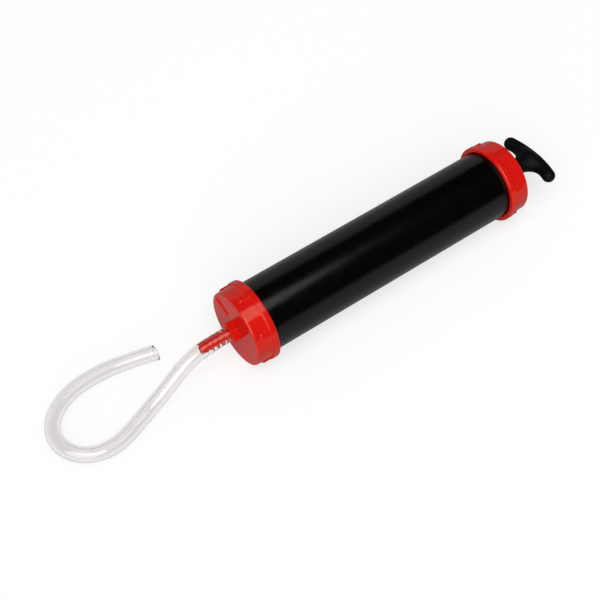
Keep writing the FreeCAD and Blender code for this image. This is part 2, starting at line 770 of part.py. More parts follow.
# ---------------------------------------------------------------------------------------------
# Check and write
# ---------------------------------------------------------------------------------------------
doc.recompute()
for item in doc.Objects:
    assert not {"Invalid", "Error"} & set(item.State), f"{item.Name}: {item.State}"
for piece in pieces:
    assert not piece.Shape.isNull() and piece.Shape.isValid(), f"{piece.Label} has no valid shape"
    assert len(piece.Shape.Solids) == 1, f"{piece.Label}: {len(piece.Shape.Solids)} solids"

os.makedirs("parts", exist_ok=True)
for piece in pieces:
    piece.Shape.exportStep(f"parts/{piece.Label}.step")
    box = piece.Shape.BoundBox
    print(
        f"{piece.Label}: X {box.XMin:.2f}..{box.XMax:.2f}  Y {box.YMin:.2f}..{box.YMax:.2f}  "
        f"Z {box.ZMin:.2f}..{box.ZMax:.2f}"
    )
print(f"stroke {value('stroke'):.2f} mm, front face at X = {value('face_at'):.3f} mm, {len(pieces)} pieces")
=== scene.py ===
"""Looks of a hand pump for workshop fluids.

A black tube has a screwed red cap at each end, a barbed nozzle with a short clear hose in the front
cap, and a rod with a piston that a black T handle pulls through the rear cap. Lengths are in metres
and angles in degrees. X runs along the tube to the handle and Z points up from the surface that the
pump lies on. Every turned piece is worked out about the tube's axis, whose height comes from the frame.
"""

import logging
import math
from dataclasses import dataclass
from enum import Enum

import bmesh
import bpy
import numpy as np
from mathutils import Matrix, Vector


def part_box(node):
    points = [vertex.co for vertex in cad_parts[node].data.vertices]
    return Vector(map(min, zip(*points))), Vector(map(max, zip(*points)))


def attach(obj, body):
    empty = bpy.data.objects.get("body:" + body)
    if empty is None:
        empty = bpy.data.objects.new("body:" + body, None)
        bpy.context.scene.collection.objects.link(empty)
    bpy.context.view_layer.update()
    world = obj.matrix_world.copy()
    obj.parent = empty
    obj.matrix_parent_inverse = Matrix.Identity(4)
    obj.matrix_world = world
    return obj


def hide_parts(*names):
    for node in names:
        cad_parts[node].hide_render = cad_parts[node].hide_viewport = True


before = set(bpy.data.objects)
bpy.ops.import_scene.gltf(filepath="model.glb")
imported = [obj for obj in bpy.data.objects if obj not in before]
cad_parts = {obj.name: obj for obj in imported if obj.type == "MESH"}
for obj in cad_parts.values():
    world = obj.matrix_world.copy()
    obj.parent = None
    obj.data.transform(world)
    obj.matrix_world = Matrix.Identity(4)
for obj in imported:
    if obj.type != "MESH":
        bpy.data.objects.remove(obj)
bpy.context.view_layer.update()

log = logging.getLogger("fluid_transfer_pump")

Colour = tuple[float, float, float]
Corners = list[tuple[float, float, float]]
Node = bpy.types.ShaderNode
Outline = np.ndarray
Piece = bpy.types.Object
Place = tuple[float, float, float]
Socket = bpy.types.NodeSocket

FULL_TURN = 2 * math.pi
MERGE_GAP = 1e-7
NEARLY_NOTHING = 1e-12
SHARP_EDGE = 40.0
WHITE: Colour = (1.0, 1.0, 1.0)
EVEN: Place = (1.0, 1.0, 1.0)


def axis_height() -> float:
    """Height of the tube's axis above the surface that the pump lies on."""
    low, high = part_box("barrel_tube")
    return (low.z + high.z) / 2


AXIS_Z = axis_height()


def along(node: str) -> tuple[float, float]:
    """Where a CAD node starts and ends along the tube."""
    low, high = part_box(node)
    return low.x, high.x


def reach(node: str) -> float:
    """A CAD node's radius about the tube's axis."""
    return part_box(node)[1].z - AXIS_Z


# ---------------------------------------------------------------------------------------------
# Outlines and grids
# ---------------------------------------------------------------------------------------------
def smooth_step(share: np.ndarray) -> np.ndarray:
    """A soft rise: the share, held from 0 to 1, is squared and multiplied by three less twice itself."""
    held = np.clip(share, 0, 1)
    return held ** 2 * (3 - 2 * held)


def round_corners(corners: Corners, steps: int = 5) -> Outline:
    """A closed outline whose corners are rounded.

    At each corner the outline leaves its edge at the radius times the tangent of half the turn before
    the corner, and follows an arc of that radius about the point that is one radius off both edges.
    A corner in the same place as the one before it is left out.

    Args:
        corners: (along X, radius, rounding) for each corner, in order.
        steps: points on each arc.

    Returns:
        The outline's points, (along X, radius), one row each.
    """
    table = np.array(corners, float)
    moved = np.linalg.norm(table[:, :2] - np.roll(table[:, :2], 1, 0), axis=1)
    table = table[moved > MERGE_GAP]
    point, radius = table[:, :2], table[:, 2]
    before, after = np.roll(point, 1, 0), np.roll(point, -1, 0)
    into = (point - before) / np.linalg.norm(point - before, axis=1)[:, None]
    out = (after - point) / np.linalg.norm(after - point, axis=1)[:, None]
    cross = into[:, 0] * out[:, 1] - into[:, 1] * out[:, 0]
    turn = np.arctan2(cross, (into * out).sum(1))
    start = point - into * (radius * np.tan(abs(turn) / 2))[:, None]
    to_centre = np.stack([-into[:, 1], into[:, 0]], 1) * (np.sign(turn) * radius)[:, None]
    angle = turn[:, None, None] * np.linspace(0, 1, steps)[None, :, None]
    spoke = -to_centre[:, None, :]
    sideways = np.stack([-spoke[..., 1], spoke[..., 0]], -1)
    arcs = (start + to_centre)[:, None, :] + spoke * np.cos(angle) + sideways * np.sin(angle)
    points = arcs.reshape(-1, 2)
    apart = np.linalg.norm(points - np.roll(points, 1, 0), axis=1) > MERGE_GAP
    return points[apart]


def spread(outline: Outline, longest: float) -> Outline:
    """A closed outline with its long edges divided evenly.

    Args:
        outline: the outline's points.
        longest: no edge of the result is longer than this.

    Returns:
        The outline's points with the new ones between them.
    """
    after = np.roll(outline, -1, 0)
    counts = np.maximum(1, np.ceil(np.linalg.norm(after - outline, axis=1) / longest)).astype(int)
    owner = np.repeat(np.arange(len(outline)), counts)
    first = np.repeat(np.cumsum(counts) - counts, counts)
    share = (np.arange(counts.sum()) - first) / counts[owner]
    return outline[owner] + (after - outline)[owner] * share[:, None]


def tube_section(node: str, inner: float, rounding: float) -> Outline:
    """The section of a ring or tube with a CAD node's length and outer radius.

    Args:
        node: the CAD node.
        inner: the inner radius.
        rounding: the radius of the section's four corners.

    Returns:
        The section's points, (along X, radius).
    """
    start, end = along(node)
    outer = reach(node)
    corners = [(start, inner), (end, inner), (end, outer), (start, outer)]
    return round_corners([(x, radius, rounding) for x, radius in corners])


def circle_angles(count: int) -> np.ndarray:
    """Evenly spaced angles of a full turn, the last one before the first comes again."""
    return np.linspace(0, FULL_TURN, count, endpoint=False)


def about_axis(x: np.ndarray, radius: np.ndarray, angle: np.ndarray) -> np.ndarray:
    """Points at a place along X, a radius and an angle about the tube's axis, from +Y towards +Z."""
    x, radius, angle = np.broadcast_arrays(x, radius, angle)
    return np.stack([x, radius * np.cos(angle), AXIS_Z + radius * np.sin(angle)], -1)


def skin(points: np.ndarray, close_rows: bool, close_columns: bool) -> tuple[np.ndarray, np.ndarray]:
    """Four-sided faces over a grid of points, each face joining two neighbours in both directions.

    Args:
        points: the grid, rows by columns by three.
        close_rows: whether the last row joins the first.
        close_columns: whether the last column joins the first.

    Returns:
        The points as a list and the faces as rows of four indices.
    """
    rows, columns = points.shape[:2]
    index = np.arange(rows * columns).reshape(rows, columns)
    if close_rows:
        index = np.vstack([index, index[:1]])
    if close_columns:
        index = np.hstack([index, index[:, :1]])
    return points.reshape(-1, 3), cells(index).reshape(-1, 4)


def cells(grid: np.ndarray) -> np.ndarray:
    """The four corners of each cell of a grid, in order round the cell."""
    return np.stack([grid[:-1, :-1], grid[:-1, 1:], grid[1:, 1:], grid[1:, :-1]], 2)


def signed_volume(points: np.ndarray, quads: np.ndarray) -> float:
    """Volume inside four-sided faces, the sum of the boxes spanned by each of their two triangles."""
    a, b, c, d = (points[quads[:, k]] for k in range(4))
    return float((np.cross(a, b) * c).sum() + (np.cross(a, c) * d).sum()) / 6


# ---------------------------------------------------------------------------------------------
# Pieces from arrays
# ---------------------------------------------------------------------------------------------
def place_in_scene(name: str, data: bpy.types.ID) -> Piece:
    """Make an object of the scene.

    Args:
        name: the object's name.
        data: its mesh, curve, lamp or camera.

    Returns:
        The object, at the origin.
    """
    made = bpy.data.objects.new(name, data)
    bpy.context.scene.collection.objects.link(made)
    return made


def shade(mesh: bpy.types.Mesh, sharp: float) -> None:
    """Shade a mesh smooth, but sharp at an edge that turns by more than an angle."""
    mesh.shade_smooth()
    mesh.set_sharp_from_angle(angle=math.radians(sharp))


def merge_poles(mesh: bpy.types.Mesh) -> None:
    """Merge points that lie in one place, as at a pole, so that the surface is closed there.

    Args:
        mesh: the mesh, which is changed.
    """
    work = bmesh.new()
    work.from_mesh(mesh)
    bmesh.ops.remove_doubles(work, verts=work.verts, dist=MERGE_GAP)
    work.to_mesh(mesh)
    work.free()


def new_piece(
    name: str,
    points: np.ndarray,
    quads: np.ndarray,
    sharp: float = SHARP_EDGE,
    uv: np.ndarray | None = None,
) -> Piece:
    """A closed smooth piece whose faces point outwards, with its poles merged.

    Args:
        name: the piece's name.
        points: the mesh's points.
        quads: its faces, rows of four indices.
        sharp: an edge that turns by more than this angle is shaded sharp.
        uv: a place on the pattern for each corner of each face, if the piece has one.

    Returns:
        The piece, at the origin.
    """
    if signed_volume(points, quads) < 0:
        quads = quads[:, ::-1]
        uv = None if uv is None else uv.reshape(-1, 4, 2)[:, ::-1].reshape(-1, 2)
    mesh = bpy.data.meshes.new(name)
    mesh.vertices.add(len(points))
    mesh.vertices.foreach_set("co", points.astype(np.float32).ravel())
    mesh.loops.add(quads.size)
    mesh.loops.foreach_set("vertex_index", quads.astype(np.int32).ravel())
    mesh.polygons.add(len(quads))
    mesh.polygons.foreach_set("loop_start", np.arange(0, quads.size, 4, dtype=np.int32))
    mesh.update(calc_edges=True)
    if uv is not None:
        layer = mesh.uv_layers.new(name="UVMap")
        layer.data.foreach_set("uv", uv.astype(np.float32).ravel())
    mesh.validate()
    merge_poles(mesh)
    shade(mesh, sharp)
    return place_in_scene(name, mesh)


def revolved(
    name: str,
    x: np.ndarray,
    radius: np.ndarray,
    angle: np.ndarray,
    sharp: float = SHARP_EDGE,
    is_loop: bool = True,
) -> Piece:
    """A piece whose rows go once round the tube's axis.

    Args:
        name: the piece's name.
        x: the rows' places along X, as a column, or every point's.
        radius: the rows' radii, as a column, or every point's.
        angle: the columns' angles.
        sharp: an edge that turns by more than this angle is shaded sharp.
        is_loop: whether the last row joins the first, as on a ring. Otherwise both are poles.

    Returns:
        The piece.
    """
    return new_piece(name, *skin(about_axis(x, radius, angle), is_loop, True), sharp)


def turned(name: str, outline: Outline, columns: int = 96) -> Piece:
    """A piece made by turning a closed outline once about the tube's axis."""
    return revolved(name, outline[:, :1], outline[:, 1:], circle_angles(columns))


def ring(name: str, node: str, inner: float, rounding: float, columns: int = 96) -> Piece:
    """A rounded flat ring with a CAD node's length and outer radius."""
    return turned(name, tube_section(node, inner, rounding), columns)


def split_ring(
    name: str, angle: np.ndarray, low: np.ndarray, thick: float, inner: float, outer: np.ndarray,
    bevel: float = 0.00015,
) -> Piece:
    """A ring that is open at one place.

    Its section is a rectangle with its four corners cut off, one section for each angle. The first and
    the last section are closed by a pole at their middle.

    Args:
        name: the piece's name.
        angle: the sections' angles about the axis.
        low: where each section starts along X.
        thick: how long the sections are along X.
        inner: the sections' inner radius.
        outer: each section's outer radius.
        bevel: how much is cut off each corner.

    Returns:
        The piece.
    """
    far = thick - bevel
    x = low[:, None] + np.array([0, 0, bevel, far, thick, thick, far, bevel])
    inside = np.full_like(outer, inner)
    radius = np.stack([
        inside + bevel, outer - bevel, outer, outer, outer - bevel, inside + bevel, inside, inside,
    ], 1)
    rows = about_axis(x, radius, angle[:, None])
    first, last = (np.repeat(rows[k].mean(0)[None, None], rows.shape[1], 1) for k in (0, -1))
    return new_piece(name, *skin(np.concatenate([first, rows, last]), False, True))


def evaluated_mesh(thing: Piece) -> bpy.types.Mesh:
    """A new mesh of what an object's curve or its modifiers make."""
    graph = bpy.context.evaluated_depsgraph_get()
    return bpy.data.meshes.new_from_object(thing.evaluated_get(graph), depsgraph=graph)


def mesh_points(mesh: bpy.types.Mesh) -> np.ndarray:
    """A mesh's points.

    Args:
        mesh: the mesh.

    Returns:
        The points, one row each.
    """
    flat = np.zeros(len(mesh.vertices) * 3, np.float32)
    mesh.vertices.foreach_get("co", flat)
    return flat.reshape(-1, 3).astype(float)


def apply_modifiers(piece: Piece) -> None:
    """Put what a piece's modifiers make into its own mesh.

    Args:
        piece: the piece, which is left without modifiers.
    """
    made = evaluated_mesh(piece)
    old, name = piece.data, piece.data.name
    piece.modifiers.clear()
    piece.data = made
    bpy.data.meshes.remove(old)
    made.name = name


class Joining(Enum):
    """What a second shape does to a piece."""

    JOINED_ON = "UNION"
    CUT_OUT = "DIFFERENCE"


def combine(piece: Piece, tool: Piece, how: Joining) -> None:
    """Cut a tool out of a piece or join it to it, and remove the tool.

    Args:
        piece: the piece, whose mesh is changed.
        tool: the second shape.
        how: whether the tool is joined on or cut out.
    """
    step = piece.modifiers.new("combine", "BOOLEAN")
    step.operation = how.value
    step.solver = "EXACT"
    step.object = tool
    apply_modifiers(piece)
    shape = tool.data
    bpy.data.objects.remove(tool)
    bpy.data.meshes.remove(shape)


class Body(Enum):
    """The moving bodies that the pieces ride on."""

    PUMP = "pump_body"
    CUPS = "piston_cups"
    PLUNGER = "plunger"


def dress(piece: Piece, body: Body, finish: "Finish", *nodes: str) -> None:
    """Give a piece its finish, let it ride on its body, and let it stand for its CAD nodes.

    Args:
        piece: the piece.
        body: the body that it moves with.
        finish: its finish, whose slot also names the material.
        nodes: the CAD nodes that it replaces.
    """
    piece.data.materials.clear()
    piece.data.materials.append(finish.material())
    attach(piece, body.value)
    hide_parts(*nodes)
    log.info("%s: %d faces, %s, on %s", piece.name, len(piece.data.polygons), finish.slot, body.value)


# ---------------------------------------------------------------------------------------------
# Finishes
# ---------------------------------------------------------------------------------------------
class Grain(Enum):
    """How the fine relief of a finish runs."""

    MOULDED = "even in all directions, as on a moulding from an etched tool"
    PEEL = "long soft waves, as in sprayed enamel"
    TURNED = "fine rings about the tube's axis, as from a lathe"
    DRAWN = "fine lines along the piece's own map, as on an extrusion"


class NodeBoard:
    """The node tree of one material or of the surroundings, with short calls for the nodes that it needs."""

    def __init__(self, holder: bpy.types.ID, output: str = "ShaderNodeOutputMaterial") -> None:
        """Start an empty tree with its output.

        Args:
            holder: the material or the world that holds the tree.
            output: the kind of its output node.
        """
        holder.use_nodes = True
        self.tree = holder.node_tree
        self.tree.nodes.clear()
        self.output = self.add(output)

    def add(self, kind: str, **settings: object) -> Node:
        """A new node.

        Args:
            kind: the node's kind.
            settings: its plain settings.

        Returns:
            The node.
        """
        node = self.tree.nodes.new(kind)
        for name, setting in settings.items():
            setattr(node, name, setting)
        return node

    def link(self, source: Socket, target: Socket) -> None:
        """Join an output to an input."""
        self.tree.links.new(source, target)

    def place(self, scale: Place, on_surface: bool = False) -> Socket:
        """Coordinates for a pattern.

        Args:
            scale: how much they are stretched in each direction.
            on_surface: whether they follow the piece's own map. Otherwise they start on the tube's axis.

        Returns:
            The coordinates.
        """
        source = self.add("ShaderNodeTexCoord").outputs["UV" if on_surface else "Object"]
        mapping = self.add("ShaderNodeMapping")
        if not on_surface:
            mapping.inputs["Location"].default_value = (0.0, 0.0, -AXIS_Z * scale[2])
        mapping.inputs["Scale"].default_value = scale
        self.link(source, mapping.inputs["Vector"])
        return mapping.outputs["Vector"]

    def noise(self, vector: Socket, scale: float, detail: float) -> Socket:
        """Soft noise.

        Args:
            vector: the coordinates that it lies on.
            scale: blotches a metre.
            detail: how many finer layers it has.

        Returns:
            The noise, from 0 to 1.
        """
        node = self.add("ShaderNodeTexNoise")
        node.inputs["Scale"].default_value = scale
        node.inputs["Detail"].default_value = detail
        self.link(vector, node.inputs["Vector"])
        return node.outputs["Fac"]

    def between(self, source: Socket, low: float, high: float) -> Socket:
        """The middle half of a noise, spread over a range.

        Args:
            source: the noise.
            low: the range's low end.
            high: the range's high end.

        Returns:
            The value.
        """
        node = self.add("ShaderNodeMapRange")
        ends = {"From Min": 0.25, "From Max": 0.75, "To Min": low, "To Max": high}
        for name, end in ends.items():
            node.inputs[name].default_value = end
        self.link(source, node.inputs["Value"])
        return node.outputs["Result"]

    def colours(self, source: Socket, low: Colour, high: Colour) -> Socket:
        """A colour between two.

        Args:
            source: a value from 0 to 1.
            low: the colour at 0.
            high: the colour at 1.

        Returns:
            The colour.
        """
        node = self.add("ShaderNodeMix", data_type="RGBA")
        node.inputs["A"].default_value = (*low, 1.0)
        node.inputs["B"].default_value = (*high, 1.0)
        self.link(source, node.inputs["Factor"])
        return node.outputs["Result"]

    def bump(self, height: Socket, depth: float, under: Node | None = None) -> Node:
        """Relief.

        Args:
            height: the relief's height, from 0 to 1.
            depth: how deep it is.
            under: another relief that it lies on.

        Returns:
            The relief's node.
        """
        node = self.add("ShaderNodeBump")
        node.inputs["Strength"].default_value = 1.0
        node.inputs["Distance"].default_value = depth
        self.link(height, node.inputs["Height"])
        if under is not None:
            self.link(under.outputs["Normal"], node.inputs["Normal"])
        return node

    def largest(self, *sources: Socket) -> Socket:
        """The largest of several values.

        Args:
            sources: the values.

        Returns:
            The largest one.
        """
        best = sources[0]
        for source in sources[1:]:
            node = self.add("ShaderNodeMath", operation="MAXIMUM")
            self.link(best, node.inputs[0])
            self.link(source, node.inputs[1])
            best = node.outputs["Value"]
        return best


@dataclass(frozen=True)
class Finish:
    """One finish: its colour's range, its gloss and the relief that light shows on it.

    The colour drifts between two shades in soft blotches, the roughness drifts on finer blotches,
    and two reliefs lie on each other: the grain, and long waves.
    """

    slot: str
    shade: Colour
    tint: Colour
    rough_low: float
    rough_high: float
    grain: Grain
    grain_scale: float
    grain_depth: float
    blotches: float = 60.0
    blotch_detail: float = 2.0
    gloss_blotches: float = 2.7
    gloss_detail: float = 5.0
    metallic: float = 0.0
    index: float = 1.5
    specular: float = 0.5
    gloss_tint: Colour = WHITE
    below_surface: float = 0.0
    below_colours: Colour = (1.0, 0.2, 0.1)
    below_depth: float = 0.0015
    wave_scale: float = 90.0
    wave_depth: float = 0.0
    ring_distortion: float = 1.5
    ring_detail: float = 2.0
    line_stretch: float = 0.03
    line_detail: float = 3.0
    even_detail: float = 4.0
    peel_detail: float = 1.0

    def grain_height(self, board: NodeBoard) -> Socket:
        """The grain's height.

        Args:
            board: the material's nodes.

        Returns:
            The height, from 0 to 1, running as this finish's grain does.
        """
        if self.grain is Grain.DRAWN:
            place = board.place((self.line_stretch, 1.0, 1.0), on_surface=True)
            return board.noise(place, self.grain_scale, self.line_detail)
        place = board.place(EVEN)
        if self.grain is Grain.TURNED:
            lines = board.add("ShaderNodeTexWave", wave_type="BANDS", bands_direction="X")
            lines.inputs["Scale"].default_value = self.grain_scale
            lines.inputs["Distortion"].default_value = self.ring_distortion
            lines.inputs["Detail"].default_value = self.ring_detail
            board.link(place, lines.inputs["Vector"])
            return lines.outputs["Fac"]
        detail = self.peel_detail if self.grain is Grain.PEEL else self.even_detail
        return board.noise(place, self.grain_scale, detail)

    def shader(self, board: NodeBoard) -> Node:
        """The finish's main shader.

        Args:
            board: the material's nodes.

        Returns:
            The shader, with everything linked to it.
        """
        surface = board.add("ShaderNodeBsdfPrincipled")
        plain = board.place(EVEN)
        drift = board.noise(plain, self.blotches, self.blotch_detail)
        board.link(board.colours(drift, self.shade, self.tint), surface.inputs["Base Color"])
        gloss = board.noise(plain, self.blotches * self.gloss_blotches, self.gloss_detail)
        board.link(board.between(gloss, self.rough_low, self.rough_high), surface.inputs["Roughness"])
        relief = board.bump(self.grain_height(board), self.grain_depth)
        if self.wave_depth:
            relief = board.bump(board.noise(plain, self.wave_scale, 0.0), self.wave_depth, relief)
        board.link(relief.outputs["Normal"], surface.inputs["Normal"])
        surface.inputs["Metallic"].default_value = self.metallic
        surface.inputs["IOR"].default_value = self.index
        surface.inputs["Specular IOR Level"].default_value = self.specular
        surface.inputs["Specular Tint"].default_value = (*self.gloss_tint, 1.0)
        if self.below_surface:
            surface.inputs["Subsurface Weight"].default_value = self.below_surface
            surface.inputs["Subsurface Radius"].default_value = self.below_colours
            surface.inputs["Subsurface Scale"].default_value = self.below_depth
        return surface

    def wire(self, board: NodeBoard) -> None:
        """Link the finish's shader to the material's output."""
        board.link(self.shader(board).outputs["BSDF"], board.output.inputs["Surface"])

    def material(self) -> bpy.types.Material:
        """The finish's material, made once and shared by its pieces.

        Returns:
            The material.
        """
        name = f"finish_{self.slot}"
        known = bpy.data.materials.get(name)
        if known is None:
            known = bpy.data.materials.new(name)
            self.wire(NodeBoard(known))
        return known


@dataclass(frozen=True)
class ClearVinyl(Finish):
    """Clear soft hose: its wall takes a little light, more along its sides, and lamps shine through it.

    The light left after a distance in the wall falls off exponentially, by the depth's colour.
    """

    passing_tint: Colour = (0.97, 0.965, 0.965)
    depth_colour: Colour = (0.82, 0.795, 0.80)
    depth_density: float = 150.0

    def wire(self, board: NodeBoard) -> None:
        """Show glass to the eye, and a plain tint to the light that falls on other pieces.

        Args:
            board: the material's nodes.
        """
        surface = self.shader(board)
        surface.inputs["Transmission Weight"].default_value = 1.0
        path = board.add("ShaderNodeLightPath")
        passing = board.add("ShaderNodeBsdfTransparent")
        passing.inputs["Color"].default_value = (*self.passing_tint, 1.0)
        shown = surface.outputs["BSDF"]
        for ray in ("Is Shadow Ray", "Is Diffuse Ray"):
            choice = board.add("ShaderNodeMixShader")
            board.link(path.outputs[ray], choice.inputs["Fac"])
            board.link(shown, choice.inputs[1])
            board.link(passing.outputs["BSDF"], choice.inputs[2])
            shown = choice.outputs["Shader"]
        board.link(shown, board.output.inputs["Surface"])
        depth = board.add("ShaderNodeVolumeAbsorption")
        depth.inputs["Color"].default_value = (*self.depth_colour, 1.0)
        depth.inputs["Density"].default_value = self.depth_density
        board.link(depth.outputs["Volume"], board.output.inputs["Volume"])


BARREL_ENAMEL = Finish(
    slot="barrel_paint", shade=(0.0005, 0.0005, 0.0006), tint=(0.0016, 0.0016, 0.0018),
    rough_low=0.17, rough_high=0.25, grain=Grain.PEEL, grain_scale=900.0, grain_depth=0.00001,
    blotches=30.0, index=1.45, wave_scale=38.0, wave_depth=0.00007,
)
RED_PLASTIC = Finish(
    slot="red_plastic", shade=(0.61, 0.0070, 0.0045), tint=(0.70, 0.0100, 0.0065),
    rough_low=0.09, rough_high=0.15, grain=Grain.MOULDED, grain_scale=1400.0, grain_depth=0.000004,
    blotches=55.0, index=1.56, gloss_tint=(1.0, 0.98, 0.72), below_surface=0.08,
    wave_scale=70.0, wave_depth=0.00005,
)
HANDLE_PLASTIC = Finish(
    slot="handle_plastic", shade=(0.0014, 0.0012, 0.0014), tint=(0.0032, 0.0028, 0.0032),
    rough_low=0.48, rough_high=0.60, specular=0.12,
    grain=Grain.MOULDED, grain_scale=3200.0, grain_depth=0.00003,
    blotches=90.0, wave_scale=130.0, wave_depth=0.00005,
)
WHITE_PLASTIC = Finish(
    slot="white_plastic", shade=(0.70, 0.69, 0.63), tint=(0.78, 0.77, 0.72),
    rough_low=0.38, rough_high=0.5, grain=Grain.TURNED, grain_scale=900.0, grain_depth=0.00002,
    below_surface=0.1,
)
SEAL_RUBBER = Finish(
    slot="seal_rubber", shade=(0.014, 0.014, 0.014), tint=(0.026, 0.026, 0.025),
    rough_low=0.5, rough_high=0.68, grain=Grain.MOULDED, grain_scale=2500.0, grain_depth=0.00003,
)
WIPER_FELT = Finish(
    slot="wiper_felt", shade=(0.36, 0.33, 0.28), tint=(0.50, 0.47, 0.41),
    rough_low=0.9, rough_high=1.0, grain=Grain.MOULDED, grain_scale=4000.0, grain_depth=0.0002,
)
ZINC_STEEL = Finish(
    slot="zinc_steel", shade=(0.58, 0.57, 0.53), tint=(0.70, 0.70, 0.69),
    rough_low=0.26, rough_high=0.42, grain=Grain.MOULDED, grain_scale=1500.0, grain_depth=0.00002,
    blotches=220.0, metallic=1.0,
)
ROD_STEEL = Finish(
    slot="rod_steel", shade=(0.66, 0.66, 0.66), tint=(0.74, 0.74, 0.74),
    rough_low=0.14, rough_high=0.24, grain=Grain.TURNED, grain_scale=2200.0, grain_depth=0.000003,
    blotches=120.0, metallic=1.0,
)
INSERT_BRASS = Finish(
    slot="insert_brass", shade=(0.66, 0.47, 0.19), tint=(0.75, 0.57, 0.27),
    rough_low=0.22, rough_high=0.34, grain=Grain.TURNED, grain_scale=1200.0, grain_depth=0.00001,
    metallic=1.0,
)
CLEAR_VINYL = ClearVinyl(
    slot="clear_hose", shade=(0.985, 0.98, 0.98), tint=WHITE,
    rough_low=0.0, rough_high=0.0, grain=Grain.DRAWN, grain_scale=450.0, grain_depth=0.000012,
    index=1.53,
)


# ---------------------------------------------------------------------------------------------
# Camera, light and floor
# ---------------------------------------------------------------------------------------------
class LampShape(Enum):
    """The outline of a soft lamp."""

    RECTANGLE = "RECTANGLE"
    DISK = "DISK"


@dataclass(frozen=True)
class SoftLamp:
    """A lamp of an even brightness that faces a point.

    Its power is its brightness times pi times its area.
    """

    name: str
    at: Place
    target: Place
    width: float
    height: float
    brightness: float
    shape: LampShape = LampShape.RECTANGLE
    in_diffuse_light: bool = True

    def build(self) -> None:
        """Make the lamp."""
        light = bpy.data.lights.new(self.name, "AREA")
        light.shape = self.shape.value
        light.size = self.width
        area = self.width * self.height
        if self.shape is LampShape.RECTANGLE:
            light.size_y = self.height
        else:
            area *= math.pi / 4
        light.energy = self.brightness * math.pi * area
        lamp = place_in_scene(self.name, light)
        lamp.location = self.at
        lamp.rotation_euler = (Vector(self.target) - Vector(self.at)).to_track_quat("-Z", "Y").to_euler()
        lamp.visible_diffuse = self.in_diffuse_light


BACK_CARD = SoftLamp(
    "back_card", at=(0.3, 2.2, 0.9), target=(0.0, 0.0, 0.05), width=4.5, height=1.7, brightness=0.32,
    in_diffuse_light=False,
)
ROUND_SOFTBOX = SoftLamp(
    "round_softbox", at=(0.01, -0.24, 1.03), target=(-0.12, 0.0, 0.05), width=0.62, height=0.62,
    brightness=1.45, shape=LampShape.DISK,
)


